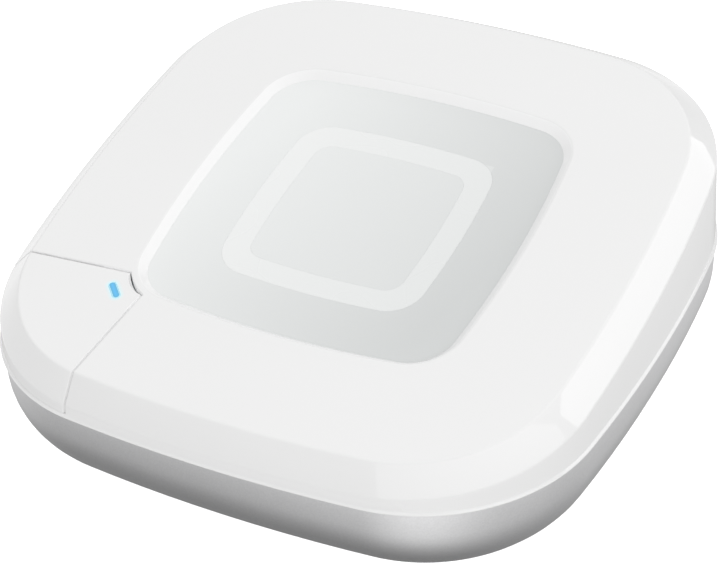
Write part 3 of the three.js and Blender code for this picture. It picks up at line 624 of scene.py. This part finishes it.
class Builder:
    """Collects vertices and faces in millimetres and makes a closed, smoothly shaded mesh of them."""

    FLAT_WEIGHT = 400.0
    SMOOTH_LIMIT = radians(38)
    MERGE_DISTANCE = 1e-7

    def __init__(self):
        self.points, self.faces, self.flat = [], [], set()

    def row(self, points):
        first = len(self.points)
        self.points += [Vector(p) for p in points]
        return list(range(first, len(self.points)))

    def strip(self, low, high, closed=True):
        """Quads between two rows of the same length."""
        count = len(low) if closed else len(low) - 1
        for k in range(count):
            n = (k + 1) % len(low)
            self.faces.append((low[k], low[n], high[n], high[k]))

    def rows(self, rows, closed=True):
        made = [self.row(points) for points in rows]
        for low, high in zip(made, made[1:]):
            self.strip(low, high, closed)
        return made

    def capped(self, rows):
        """Rows with a flat area over each end."""
        made = self.rows(rows)
        self.fill(made[0])
        self.fill(made[-1])

    def fill(self, outer, *holes):
        """Triangles over a flat area with holes. Flat areas rule the shading of the edges round them."""
        loops = [outer, *holes]
        indices = [i for loop in loops for i in loop]
        flat = tessellate_polygon([[self.points[i] for i in loop] for loop in loops])
        for triangle in flat:
            self.flat.add(len(self.faces))
            self.faces.append(tuple(indices[k] for k in triangle))

    def fan(self, loop, centre):
        tip = self.row([centre])[0]
        for k in range(len(loop)):
            self.faces.append((loop[k], loop[(k + 1) % len(loop)], tip))

    def turned(self, x, y, profile, segments=32):
        """A turned feature round an upright axis, from (radius, height) pairs. Returns its first and last
        rows. Where the last radius is 0, it closes on the axis."""
        made = []
        for radius, height in profile:
            if radius == 0:
                self.fan(made[-1], (x, y, height))
                return made[0], None
            made.append(self.row(lifted(circle(x, y, radius, segments), height)))
            if len(made) > 1:
                self.strip(made[-2], made[-1])
        return made[0], made[-1]

    def mesh(self, name):
        mesh = bpy.data.meshes.new(name)
        mesh.from_pydata([p * MM for p in self.points], [], self.faces)
        marks = mesh.attributes.new("flat", "INT", "FACE")
        marks.data.foreach_set("value", [int(k in self.flat) for k in range(len(self.faces))])
        work = bmesh.new()
        work.from_mesh(mesh)
        bmesh.ops.remove_doubles(work, verts=work.verts, dist=Builder.MERGE_DISTANCE)
        bmesh.ops.recalc_face_normals(work, faces=work.faces)
        work.to_mesh(mesh)
        work.free()
        return mesh

    def piece(self, name, body, slot, *nodes, material=None):
        finish_piece(self.mesh(name), name, body, slot, *nodes, material=material)


def finish_piece(mesh, name, body, slot, *nodes, material=None):
    """Makes the mesh a piece that rides on a body and stands for CAD nodes. Its material has its slot's
    name, unless another is given."""
    shade(mesh)
    piece = placed(name, mesh)
    mesh.materials.append(materials[material or slot])
    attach(piece, body)
    if nodes:
        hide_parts(*nodes)


def shade(mesh):
    """Smooth normals across soft edges only. Flat areas keep their own normal up to their border."""
    flat = [item.value for item in mesh.attributes["flat"].data]
    around = {}
    for face in mesh.polygons:
        count = len(face.vertices)
        for k, v in enumerate(face.vertices):
            here = mesh.vertices[v].co
            to_next = mesh.vertices[face.vertices[(k + 1) % count]].co - here
            to_last = mesh.vertices[face.vertices[k - 1]].co - here
            weight = to_next.angle(to_last, 0.0) * (Builder.FLAT_WEIGHT if flat[face.index] else 1.0)
            around.setdefault(v, []).append((face.normal.copy(), weight))
    limit = cos(Builder.SMOOTH_LIMIT)
    normals = []
    for face in mesh.polygons:
        for v in face.vertices:
            total = Vector()
            for normal, weight in around[v]:
                if normal.dot(face.normal) > limit:
                    total += normal * weight
            normals.append(total.normalized() if total.length > 0 else face.normal.copy())
    for face in mesh.polygons:
        face.use_smooth = True
    mesh.normals_split_custom_set(normals)


def carve(mesh, cutter_mesh):
    """The mesh cut by a closed cutter."""
    target, cutter = placed("carve_target", mesh), placed("carve_cutter", cutter_mesh)
    boolean = target.modifiers.new("carve", "BOOLEAN")
    boolean.operation, boolean.solver, boolean.object = "DIFFERENCE", "EXACT", cutter
    evaluated = target.evaluated_get(bpy.context.evaluated_depsgraph_get())
    result = bpy.data.meshes.new_from_object(evaluated)
    bpy.data.objects.remove(target)
    bpy.data.objects.remove(cutter)
    return result


def lifted(loop, height):
    """A loop seen from above, set at a height, which may be a function of y."""
    return [(x, y, height(y) if callable(height) else height) for x, y in loop]


def stadium(x, y, length, width, turn):
    """Points round a slot with round ends, its long axis along X before the turn."""
    radius, reach = width / 2, (length - width) / 2
    found = []
    for end, middle in enumerate((reach, -reach)):
        for k in range(END_STEPS + 1):
            a = -QUARTER + pi * (end + k / END_STEPS)
            found.append(Vector((middle + radius * cos(a), radius * sin(a))))
    return [Vector((x, y)) + Vector(rotated(*spot, turn)) for spot in found]


def rounded_rectangle(x, y, width, depth, radius):
    """Points round a rectangle with round corners."""
    found = []
    for quarter, (sx, sy) in enumerate(((1, 1), (-1, 1), (-1, -1), (1, -1))):
        cx, cy = x + sx * (width / 2 - radius), y + sy * (depth / 2 - radius)
        for k in range(END_STEPS + 1):
            a = QUARTER * (quarter + k / END_STEPS)
            found.append(Vector((cx + radius * cos(a), cy + radius * sin(a))))
    return found


def circle(x, y, radius, steps=40):
    turns = [2 * pi * k / steps for k in range(steps)]
    return [(x + radius * cos(a), y + radius * sin(a)) for a in turns]


def tunnel(b, loop):
    """A closed bar along Y that passes through the back of the cover. The loop is in X and Z."""
    b.capped([[(x, y, z) for x, z in loop] for y in (SOCKET_FACE_Y - TUNNEL_PAST, BODY.half + TUNNEL_PAST)])


# ---- the button's seams


class Seam:
    """A straight gap seen from above. Outward is its direction away from the dish, aside points into the
    button, and the bracket is the span of outline angles, in degrees, that it crosses the outline in."""

    TRIES, EXACT = 40, 1e-7

    def __init__(self, point, outward, aside, bracket):
        self.point, self.outward, self.aside = Vector(point), Vector(outward), Vector(aside)
        self.bracket = [radians(a) for a in bracket]

    def offset(self, spot):
        return (Vector((spot[0], spot[1])) - self.point).dot(self.aside)

    def meets_arc(self, offset, radius):
        """Where the seam's line at this offset leaves the arc's circle."""
        start = self.point + self.aside * offset - ARC_MIDDLE
        half = start.dot(self.outward)
        reach = -half + sqrt(half ** 2 - start.length_squared + radius ** 2)
        return ARC_MIDDLE + start + self.outward * reach

    def angle_on(self, row_point, offset):
        """The outline angle at which a row of the profile crosses the seam's line at this offset."""
        low, high = self.bracket
        low_value = self.offset(row_point(low)) - offset
        high_value = self.offset(row_point(high)) - offset
        for _ in range(self.TRIES):
            middle = low + (high - low) * low_value / (low_value - high_value)
            value = self.offset(row_point(middle)) - offset
            if abs(value) < self.EXACT:
                break
            if value * low_value > 0:
                low, low_value = middle, value
            else:
                high, high_value = middle, value
        return middle


ARC_MIDDLE = Vector((-DISH.centre, -DISH.centre + DISH.centre_y))
LEFT_TILT, FRONT_TILT = radians(4), radians(6)
LEFT_SEAM = Seam(
    (-37.4, -34.5), (-cos(LEFT_TILT), -sin(LEFT_TILT)),
    (sin(LEFT_TILT), -cos(LEFT_TILT)), (-178, -150),
)
FRONT_SEAM = Seam(
    (-31.6, -40.0), (-sin(FRONT_TILT), -cos(FRONT_TILT)),
    (-cos(FRONT_TILT), sin(FRONT_TILT)), (-120, -92),
)


def seam_path(offset, radius, bulge):
    """The seams' inner ends and the arc between them, seen from above, from left to front. The bulge widens
    the arc's radius in the middle."""
    left, front = LEFT_SEAM.meets_arc(offset, radius), FRONT_SEAM.meets_arc(offset, radius)
    first = atan2(left.y - ARC_MIDDLE.y, left.x - ARC_MIDDLE.x)
    last = atan2(front.y - ARC_MIDDLE.y, front.x - ARC_MIDDLE.x)
    found = []
    for k in range(ARC_STEPS + 1):
        a = first + (last - first) * k / ARC_STEPS
        reach = radius + bulge * sin(pi * k / ARC_STEPS)
        found.append(ARC_MIDDLE + reach * Vector((cos(a), sin(a))))
    return found


class SeamedSkin:
    """A part of the cover's skin that ends at both seams. side is -1 for the cover and 1 for the button."""

    def __init__(self, builder, side, wall_offset, arc_radius):
        self.b, self.side = builder, side
        self.wall_offset, self.arc_radius = wall_offset, arc_radius
        self.soft_offset = wall_offset + side * EDGE_ROUND.seam
        self.soft_radius = arc_radius + side * EDGE_ROUND.seam

    def row_angles(self, row_point, offset):
        """Outline angles of a row between the two seams, on this part's side of them."""
        left, front = LEFT_SEAM.angle_on(row_point, offset), FRONT_SEAM.angle_on(row_point, offset)
        if self.side > 0:
            return [left + (front - left) * k / CORNER_STEPS for k in range(CORNER_STEPS + 1)]
        start, end = front, left + 2 * pi
        fade, clear = radians(SEAM_ENDS.fade), SEAM_ENDS.clear
        rest_start = radians(SEAM_ENDS.front)
        rest_end = radians(SEAM_ENDS.left) + 2 * pi
        found = [start]
        for turn in (-1, 0, 1):
            for angle in BODY.angles():
                a = angle + turn * 2 * pi
                if rest_start + clear < a < rest_end - clear:
                    a += (start - rest_start) * max(0.0, 1 - (a - rest_start) / fade)
                    a += (end - rest_end) * max(0.0, 1 - (rest_end - a) / fade)
                    found.append(a)
        return found + [end]

    def grid(self, profile, offset):
        """Rows of the profile between the seams, each ending on the seam's line at this offset."""
        count = len(profile(0.0))
        rows = []
        for j in range(count):
            row_point = lambda angle, j=j: profile(angle)[j]
            rows.append([row_point(a) for a in self.row_angles(row_point, offset)])
        return rows

    def wall_points(self, profile):
        """Where the profile's rows meet the gap's wall: at the left seam and at the front seam."""
        count = len(profile(0.0))
        found = []
        for seam in (LEFT_SEAM, FRONT_SEAM):
            places = []
            for j in range(count):
                row_point = lambda angle, j=j: profile(angle)[j]
                angle = seam.angle_on(row_point, self.wall_offset)
                nudge = 1e-3
                around = row_point(angle + nudge) - row_point(angle - nudge)
                spine = profile(angle)
                up = spine[min(j + 1, count - 1)] - spine[max(j - 1, 0)]
                normal = around.cross(up).normalized()
                flat_aside = Vector((*seam.aside, 0))
                inwards = -(normal - flat_aside * normal.dot(flat_aside))
                inwards.z *= j > 0
                inwards.normalize()
                places.append((row_point(angle), inwards))
            found.append(places)
        return found


def outer_profile(start):
    """The skin's outside from a start corner up to the top face, as a function of the outline angle."""
    corners = [
        start,
        Corner(BODY, BAND_INSET, parallel(BAND_RISE), EDGE_ROUND.band),
        Corner(FACE, FACE_INSET, below(0), EDGE_ROUND.face),
        Corner(FACE, FACE_INSET + GUIDE, below(0)),
    ]
    return lambda angle: rounded_profile(corners, angle)[:-1]


def inner_profile(start):
    """The skin's inside from the same level as the outside's start up to the underside of the top face."""
    corners = [
        start,
        Corner(BODY, BAND_INSET + WALL, parallel(BAND_RISE - INNER_BAND_DROP)),
        Corner(FACE, FACE_INSET + INNER_BAND_DROP, below(WALL)),
    ]
    return lambda angle: rounded_profile(corners, angle)


def seamed_part(b, side, wall_offset, arc_radius, outer, inner, outer_holes, inner_holes):
    """Outside, inside, seam edges and gap walls of the cover or the button. Returns the rows at its lower
    end: outer row, inner row, and the two rounded seam ends (left, front) from the skin to the wall."""
    skin = SeamedSkin(b, side, wall_offset, arc_radius)
    outer_rows = b.rows(skin.grid(outer, skin.soft_offset), closed=False)
    inner_rows = b.rows(skin.grid(inner, wall_offset), closed=False)
    first, last = (0, -1) if side > 0 else (-1, 0)

    bulge = ARC_BULGE if side > 0 else 0.0
    soft = [Vector((*p, face_z(p.y))) for p in seam_path(skin.soft_offset, skin.soft_radius, bulge)]
    hard = [Vector((*p, face_z(p.y))) for p in seam_path(wall_offset, arc_radius, bulge)]
    soft_row = b.row(soft)
    down = Vector((0, 0, -1))
    left_wall, front_wall = skin.wall_points(outer)
    skin_path = [row[first] for row in outer_rows] + soft_row + [row[last] for row in reversed(outer_rows)]
    wall_path = left_wall + [(p, down) for p in hard] + list(reversed(front_wall))
    path_rows = [skin_path]
    for k in range(1, ROUND_STEPS + 1):
        points = []
        for index, (point, inwards) in zip(skin_path, wall_path):
            end = point + inwards * EDGE_ROUND.seam
            points.append(curve(b.points[index], point, end, k / ROUND_STEPS))
        path_rows.append(b.row(points))
        b.strip(path_rows[-2], path_rows[-1], closed=False)
    wall_top = path_rows[-1]

    inner_arc = b.row([Vector((p.x, p.y, face_z(p.y) - WALL)) for p in hard])
    rows, arc = len(outer_rows), len(hard)
    left_top, arc_top, front_top = wall_top[:rows], wall_top[rows:rows + arc], wall_top[rows + arc:]
    left_inner = [row[first] for row in inner_rows]
    front_inner = [row[last] for row in inner_rows]
    b.fill(left_top + [arc_top[0], inner_arc[0]] + list(reversed(left_inner)))
    b.fill(list(reversed(front_top)) + [arc_top[-1], inner_arc[-1]] + list(reversed(front_inner)))
    b.strip(arc_top, inner_arc, closed=False)

    path = soft_row if side < 0 else list(reversed(soft_row))
    b.fill(outer_rows[-1] + path, *outer_holes)
    path = inner_arc if side < 0 else list(reversed(inner_arc))
    b.fill(inner_rows[-1] + path, *inner_holes)
    left_end = [row[0] for row in path_rows]
    front_end = [row[-1] for row in path_rows]
    return outer_rows[0], inner_rows[0], left_end, front_end


# ---- white shell: cover and button


def angles_between(start, end, steps):
    return [start + (end - start) * k / steps for k in range(1, steps)]


def rim_rows(b):
    """The edge of the dish: rounded rim, sloped wall and the block that the panel is glued under."""
    corners = [
        Corner(DISH, -GUIDE, below(0)),
        Corner(DISH, 0, below(0), EDGE_ROUND.rim),
        Corner(DISH, DISH_WALL.run, below(DISH_WALL.drop)),
        Corner(DISH, DISH_WALL.run, below(LEDGE.drop)),
        Corner(DISH, -LEDGE.reach, below(LEDGE.drop)),
        Corner(DISH, -LEDGE.reach, below(WALL)),
    ]
    profiles = [rounded_profile(corners, a)[1:] for a in DISH.angles()]
    return b.rows(zip(*profiles))


def top_cover():
    b = Builder()
    ledge = PARTING_Z + LIP.height
    outer = outer_profile(Corner(BODY, LIP.step, level(ledge)))
    inner = inner_profile(Corner(BODY, LIP.step + WALL, level(ledge)))
    rim = rim_rows(b)
    pillars = [b.turned(x, y, [
        (SCREW.pillar, below(WALL)), (SCREW.pillar, BOARD_Z), (SCREW.bore, BOARD_Z),
        (SCREW.bore, SCREW.tip + 1), (0, SCREW.tip + 1),
    ])[0] for x, y in SCREW_PLACES]
    outer_row, inner_row, left_end, front_end = seamed_part(
        b, -1, 0.0, ARC_RADIUS, outer, inner, [rim[0]], [rim[-1], *pillars])

    # The strip of lip that runs on under the button.
    edge = lambda angle: outer(angle)[0]
    left = LEFT_SEAM.angle_on(edge, 0.0) + 2 * pi
    front = FRONT_SEAM.angle_on(edge, 0.0) + 2 * pi
    under = angles_between(left, front, CORNER_STEPS)
    skin = SeamedSkin(b, -1, 0.0, ARC_RADIUS)
    angles = skin.row_angles(edge, skin.soft_offset) + [left, *under, front]
    extra = b.row([edge(a) for a in [left, *under, front]])
    inner_edge = lambda angle: inner(angle)[0]
    inner_angles = skin.row_angles(inner_edge, 0.0) + under
    inner_extra = b.row([inner_edge(a) for a in under])
    b.fill(extra + front_end + [inner_row[0]] + list(reversed(inner_extra)) + [inner_row[-1]]
           + list(reversed(left_end)))

    lip = [
        Corner(BODY, WALL, level(PARTING_Z)),
        Corner(BODY, 0, level(PARTING_Z), EDGE_ROUND.lip_low),
        Corner(BODY, 0, level(PARTING_Z + LIP.low), EDGE_ROUND.lip_high),
        Corner(BODY, LIP.step, level(ledge)),
    ]
    profiles = [rounded_profile(lip, a)[1:-1] for a in angles]
    lip_rows = b.rows(zip(*profiles))
    b.strip(lip_rows[-1], outer_row + extra)
    bottom = b.row([Corner(BODY, WALL, level(PARTING_Z)).at(a) for a in inner_angles])
    b.strip(bottom, inner_row + inner_extra)
    b.fill(lip_rows[0], bottom)

    window = Builder()
    middle = (WINDOW.low + WINDOW.high) / 2
    tall = WINDOW.high - WINDOW.low
    tunnel(window, rounded_rectangle(0, middle, 2 * WINDOW.half, tall, WINDOW.radius))
    mesh = carve(b.mesh("top_cover"), window.mesh("window"))
    finish_piece(mesh, "cover_skin", "hub", "white_shell", "top_cover")


def indicator_loop(grow):
    middle = corner_place(INDICATOR.along, INDICATOR.across)
    return stadium(middle.x, middle.y, INDICATOR.length + 2 * grow, INDICATOR.width + 2 * grow,
                   -QUARTER / 2)


def button_outside():
    """The outside profile of the button, from its lower edge up."""
    share = SKIRT_GAP / (BAND_RISE - LIP.height)
    start = LIP.step + (BAND_INSET - LIP.step) * share
    edge = level(PARTING_Z + LIP.height + SKIRT_GAP)
    return outer_profile(Corner(BODY, start, edge)), inner_profile(Corner(BODY, start + WALL, edge))


def corner_button():
    b = Builder()
    outer, inner = button_outside()
    hole, bevel = INDICATOR.clearance, INDICATOR.bevel
    depths = [(hole + bevel, 0), (hole + 0.04, 0.04), (hole, bevel), (hole, WALL)]
    pill = b.rows([lifted(indicator_loop(grow), below(depth)) for grow, depth in depths])
    post = corner_place(POST.along, 0)
    pusher = b.turned(post.x, post.y, [
        (POST.radius, below(WALL)), (POST.radius, POST.low), (0, POST.low),
    ])[0]
    outer_row, inner_row, left_end, front_end = seamed_part(
        b, 1, SEAM_GAP, ARC_RADIUS + SEAM_GAP, outer, inner, [pill[0]], [pill[-1], pusher])
    b.fill(outer_row + front_end[1:] + list(reversed(inner_row)) + list(reversed(left_end[1:])))
    b.piece("button_cap", "button", "white_shell", "corner_button", material="button_white")


def seam_lip():
    """A thin lip along the button's edge that closes most of the seam a little below the surface."""
    b = Builder()
    outer, _ = button_outside()
    paths = []
    for offset, radius, bulge in (
        (SEAM_LIP.near, ARC_RADIUS + SEAM_LIP.near, ARC_BULGE),
        (SEAM_LIP.far, ARC_RADIUS + SEAM_LIP.arc_reach, 0.0),
    ):
        left, front = SeamedSkin(b, 1, offset, radius).wall_points(outer)
        arc = []
        spots = seam_path(offset, radius, bulge)
        for k, spot in enumerate(spots):
            sink = SEAM_LIP.arc_sink * sin(pi * k / (len(spots) - 1))
            arc.append((Vector((*spot, face_z(spot.y) - sink)), Vector((0, 0, -1))))
        for side in (left, front):
            side[0] = (side[0][0].lerp(side[1][0], SEAM_LIP.lift), side[0][1])
        paths.append(left + arc + list(reversed(front)))
    loops = []
    top, end = SEAM_LIP.depth, SEAM_LIP.end
    for path, depths in zip(paths, ((top, end), (end, top))):
        loops += [[point + inwards * depth for point, inwards in path] for depth in depths]
    made = b.rows(loops, closed=False)
    b.strip(made[-1], made[0], closed=False)
    for end in (0, -1):
        b.fill([row[end] for row in made])
    b.piece("button_seam_lip", "button", "white_shell")


def light_pipe():
    """Light pipe with a softly rounded end and a collar that holds it under the button's skin."""
    b = Builder()
    profile = [(-0.35, -0.03), (-0.12, 0), (-0.03, 0.06), (0, 0.2), (0, 2.5), (0.7, 2.5), (0.7, 3.6),
               (0, 3.6), (0, 9.2)]
    b.capped([lifted(indicator_loop(grow), below(depth)) for grow, depth in profile])
    b.piece("light_pipe", "button", "blue_light_pipe", "button_light_pipe")


# ---- base and what is under it


def base_profile(angle):
    rounds = []
    for inwards in (0.0, WALL):
        radius = BASE_ROUND - inwards
        turns = [QUARTER * (1 - k / BASE_STEPS) for k in range(BASE_STEPS + 1)]
        rounds.append([Corner(BODY, BASE.inset + inwards + radius * (1 - cos(t)),
                              level(PARTING_Z - BASE.band - radius * sin(t))) for t in turns])
    rim = PARTING_Z - GAP
    tongue_top = PARTING_Z + TONGUE.height
    tongue_in = TONGUE.inset + TONGUE.width
    corners = rounds[0] + [
        Corner(BODY, BASE.inset, level(rim), EDGE_ROUND.base),
        Corner(BODY, TONGUE.inset, level(rim)),
        Corner(BODY, TONGUE.inset, level(tongue_top), EDGE_ROUND.tongue),
        Corner(BODY, tongue_in, level(tongue_top), EDGE_ROUND.tongue),
        Corner(BODY, tongue_in, level(PARTING_Z - BASE.band)),
    ] + list(reversed(rounds[1]))[1:]
    return rounded_profile(corners, angle)


def base_shell():
    b = Builder()
    rows = b.rows(zip(*[base_profile(a) for a in BODY.angles()]))
    bevel, floor = EDGE_ROUND.hole, FOOT_DROP + WALL
    bore, sink, boss, top = SCREW.bore, SCREW.counterbore, SCREW.boss, BOARD_Z - GAP
    outside, inside = [], []
    for x, y in SCREW_PLACES:
        first, last = b.turned(x, y, [
            (sink + bevel, FOOT_DROP), (sink, FOOT_DROP + bevel), (sink, SCREW.seat),
            (bore, SCREW.seat), (bore, top), (boss, top), (boss, floor),
        ])
        outside.append(first)
        inside.append(last)
    for x, y in foot_places():
        radius = FOOT.radius + bevel
        outside.append(b.turned(x, y, [
            (radius + bevel, FOOT_DROP), (radius, FOOT_DROP + bevel), (radius, FOOT_DROP + FOOT.pocket),
            (0, FOOT_DROP + FOOT.pocket),
        ], segments=48)[0])
    for y in VENT.rows:
        for k in range(VENT.count):
            x = VENT.pitch * (k - (VENT.count - 1) / 2)
            made = b.rows([lifted(vent_loop(x, y, grow), z) for grow, z in
                           ((bevel, FOOT_DROP), (0, FOOT_DROP + bevel), (0, floor))])
            outside.append(made[0])
            inside.append(made[-1])
    pocket = [(bevel, 0), (0, bevel), (0, LABEL.pocket)]
    made = b.rows([lifted(label_loop(LABEL.gap + grow), FOOT_DROP + depth) for grow, depth in pocket])
    b.fill(made[-1])
    outside.append(made[0])
    b.fill(rows[0], *outside)
    b.fill(rows[-1], *inside)
    b.piece("base_bowl", "hub", "silver_base", "base_shell")


def foot_places():
    return [(x * FOOT.place, y * FOOT.place) for x, y in FOUR_CORNERS]


def vent_loop(x, y, grow):
    return stadium(x, y, VENT.length + 2 * grow, VENT.width + 2 * grow, QUARTER)


def label_loop(grow):
    width, depth = LABEL.width + 2 * grow, LABEL.depth + 2 * grow
    return rounded_rectangle(0, 0, width, depth, LABEL.radius + grow)


def rating_label():
    b = Builder()
    bevel, low = LABEL.bevel, FOOT_DROP + GAP
    profile = [(bevel, low), (0, low + bevel), (0, low + LABEL.thickness)]
    b.capped([lifted(label_loop(-inset), z) for inset, z in profile])
    b.piece("label_film", "hub", "label_film", "rating_label")


def rubber_foot(index, x, y):
    """Round rubber foot with a rolled edge and a shallow dimple in its sole."""
    b = Builder()
    radius, top = FOOT.radius, FOOT_DROP + FOOT.pocket - GAP
    sole = b.turned(x, y, [
        (4.2, 0.12), (4.4, 0.03), (4.7, 0), (5.3, 0), (5.65, 0.07), (5.9, 0.25), (radius, 0.55),
        (radius, top), (0, top),
    ], segments=48)[0]
    b.fan(sole, (x, y, 0.12))
    b.piece(f"foot_{index}", "hub", "rubber", f"rubber_foot_{index}")


# ---- dish and light ring


def dish_depth(half_width):
    """Depth of the dish below the top face: a shallow parabola that ends at the foot of the wall."""
    rim = DISH.half - DISH_WALL.run
    return DISH_DEPTH - (DISH_DEPTH - DISH_WALL.drop) * (half_width / rim) ** 2


def dish_point(first, last, share, angle):
    """A point of the dish between two outlines, given as (outline, inset), or from one to the centre."""
    start = first[0].point(first[1], angle)
    end = last[0].point(last[1], angle) if last else Vector((0, DISH.centre_y))
    spot = start.lerp(end, share)
    first_half = first[0].half - first[1]
    last_half = last[0].half - last[1] if last else 0.0
    depth = dish_depth(first_half + (last_half - first_half) * share)
    return Vector((spot.x, spot.y, face_z(spot.y) - depth))


def panel_profile(angle):
    flange = Corner(DISH, -PANEL.flange, below(DISH_DEPTH + PANEL.thickness))
    foot = DISH_WALL.run + PANEL_SEAM
    under = LEDGE.drop + GAP
    points = [flange.at(angle), Corner(DISH, -PANEL.flange, below(under)).at(angle),
              Corner(DISH, foot, below(under)).at(angle)]
    outside, inside = (RING_OUTER, -RING.gap), (RING_INNER, RING.gap)
    points += [dish_point((DISH, foot), outside, k / 6, angle) for k in range(7)]
    drop = Vector((0, 0, RING.inlay + RING.gap))
    points += [points[-1] - drop, dish_point(inside, None, 0, angle) - drop]
    points += [dish_point(inside, None, k / 8, angle) for k in range(8)]
    return points


def dish_panel():
    b = Builder()
    rows = b.rows(zip(*[panel_profile(a) for a in DISH.angles()]))
    b.fan(rows[-1], (0, DISH.centre_y, face_z(DISH.centre_y) - DISH_DEPTH))
    peg_end = below(RING_BOARD_DEPTH - GAP)
    pegs = [b.turned(x * PANEL.peg, y * PANEL.peg + DISH.centre_y, [
        (PANEL.peg_radius, below(DISH_DEPTH + PANEL.thickness)), (PANEL.peg_radius, peg_end),
    ]) for x, y in FOUR_CORNERS]
    for peg in pegs:
        b.fill(peg[1])
    b.fill(rows[0], *[peg[0] for peg in pegs])
    b.piece("dish_skin", "hub", "dish_plastic", "dish_panel")


def ring_profile(angle):
    outside, inside = (RING_OUTER, 0.0), (RING_INNER, 0.0)
    top = [dish_point(outside, inside, share, angle) for share in (0, 0.04, 0.2, 0.4, 0.6, 0.8, 0.96, 1)]
    drop = Vector((0, 0, RING.inlay))
    return [top[-1] - drop, top[0] - drop, *top]


def light_ring():
    b = Builder()
    rows = b.rows(zip(*[ring_profile(a) for a in DISH.angles()]))
    b.strip(rows[-1], rows[0])
    b.piece("ring_lens", "hub", "ring_diffuser", "light_ring")


# ---- sockets, reset button and screws


def band_y(x, z):
    """The outside of the cover's back, at a place along X and a height."""
    low = PARTING_Z + LIP.height
    high = PARTING_Z + BAND_RISE + SLOPE * BODY.half
    inset = LIP.step + (BAND_INSET - LIP.step) * (z - low) / (high - low)
    return BODY.half - BODY.side + sqrt((BODY.side - inset) ** 2 - x ** 2)


def port_bezel():
    """Insert in the back window, flush with the cover, with an opening for each socket."""
    b = Builder()
    half = WINDOW.half - GAP
    low, high = WINDOW.low + GAP, WINDOW.high - GAP
    radius, edge = WINDOW.radius - GAP, BEZEL.edge
    turns = [QUARTER * (1 - k / 6) for k in range(6)]
    ends = [half - radius + radius * sin(t) for t in turns]
    straight = half - radius
    inner = [straight * (2 * k / BEZEL.steps - 1) for k in range(BEZEL.steps + 1)]
    sections = []
    for x in [-x for x in ends] + inner + list(reversed(ends)):
        over = max(0.0, abs(x) - straight)
        drop = radius - sqrt(max(0.0, radius ** 2 - over ** 2))
        heights = [low + drop, high - drop]
        front = [(x, band_y(x, z) - edge, z) for z in heights]
        soft = [(x, band_y(x, z), z) for z in (heights[0] + edge, heights[1] - edge)]
        if soft[0][2] > soft[1][2]:
            soft = [(x, band_y(x, z) - edge, (heights[0] + heights[1]) / 2) for z in heights]
        back = [(x, SOCKET_FACE_Y + GAP, z) for z in reversed(heights)]
        sections.append([front[0], soft[0], soft[1], front[1], *back])
    b.capped(sections)
    cutter = Builder()
    for x, z, width, height in (ETHERNET_HOLE, USB_HOLE):
        tunnel(cutter, rounded_rectangle(x, z, width, height, BEZEL.corner))
    for x, z, radius in (POWER_HOLE, RESET_HOLE):
        tunnel(cutter, circle(x, z, radius))
    mesh = carve(b.mesh("port_bezel"), cutter.mesh("openings"))
    finish_piece(mesh, "bezel_plate", "hub", "grey_plastic", "port_bezel")


def reset_button():
    """Small rod with a flange behind the bezel and a dimple in its end."""
    b = Builder()
    x, z, _ = RESET_HOLE
    r, front, flange = RESET.radius, RESET.front, RESET.flange
    profile = [
        (r, RESET.back), (r, RESET.flange_from), (flange, RESET.flange_from),
        (flange, RESET.flange_to), (r, RESET.flange_to), (r, front - 0.25), (r - 0.08, front - 0.06),
        (r - 0.25, front), (r - 0.5, front - 0.05), (r - 0.8, front - 0.14),
    ]
    made = b.rows([[(u, y, v) for u, v in circle(x, z, radius, 32)] for radius, y in profile])
    b.fan(made[0], (x, RESET.back, z))
    b.fan(made[-1], (x, front - 0.16, z))
    b.piece("reset_pin", "reset", "black_plastic", "reset_button")


def cover_screw(index, x, y):
    """Pan-head screw with a cross recess, its head downwards."""
    b = Builder()
    head, shank = SCREW_HEAD.radius, SCREW_HEAD.shank
    top = SCREW.seat - GAP
    low = top - SCREW_HEAD.height
    crown = b.turned(x, y, [
        (1.6, low), (2.1, low + 0.06), (head - 0.22, low + 0.22), (head, low + 0.6), (head, top),
        (shank, top), (shank, SCREW.tip - 1), (0, SCREW.tip),
    ])[0]
    b.fan(crown, (x, y, low))
    reach, half = SCREW_HEAD.slot, SCREW_HEAD.slot_half
    arm = ((reach, -half), (reach, half), (half, half))
    cross = [Vector(rotated(*spot, QUARTER * k)) for k in range(4) for spot in arm]
    taper = ((1.1, low - 0.5), (0.75, low + SCREW_HEAD.slot_depth))
    cutter = Builder()
    cutter.capped([[(x + p.x * share, y + p.y * share, z) for p in cross] for share, z in taper])
    mesh = carve(b.mesh(f"screw_{index}"), cutter.mesh("recess"))
    finish_piece(mesh, f"screw_{index}", "hub", "steel", f"cover_screw_{index}")


# ---- making everything

top_cover()
corner_button()
seam_lip()
light_pipe()
base_shell()
rating_label()
for index, (x, y) in enumerate(foot_places(), 1):
    rubber_foot(index, x, y)
for index, (x, y) in enumerate(SCREW_PLACES, 1):
    cover_screw(index, x, y)
dish_panel()
light_ring()
port_bezel()
reset_button()
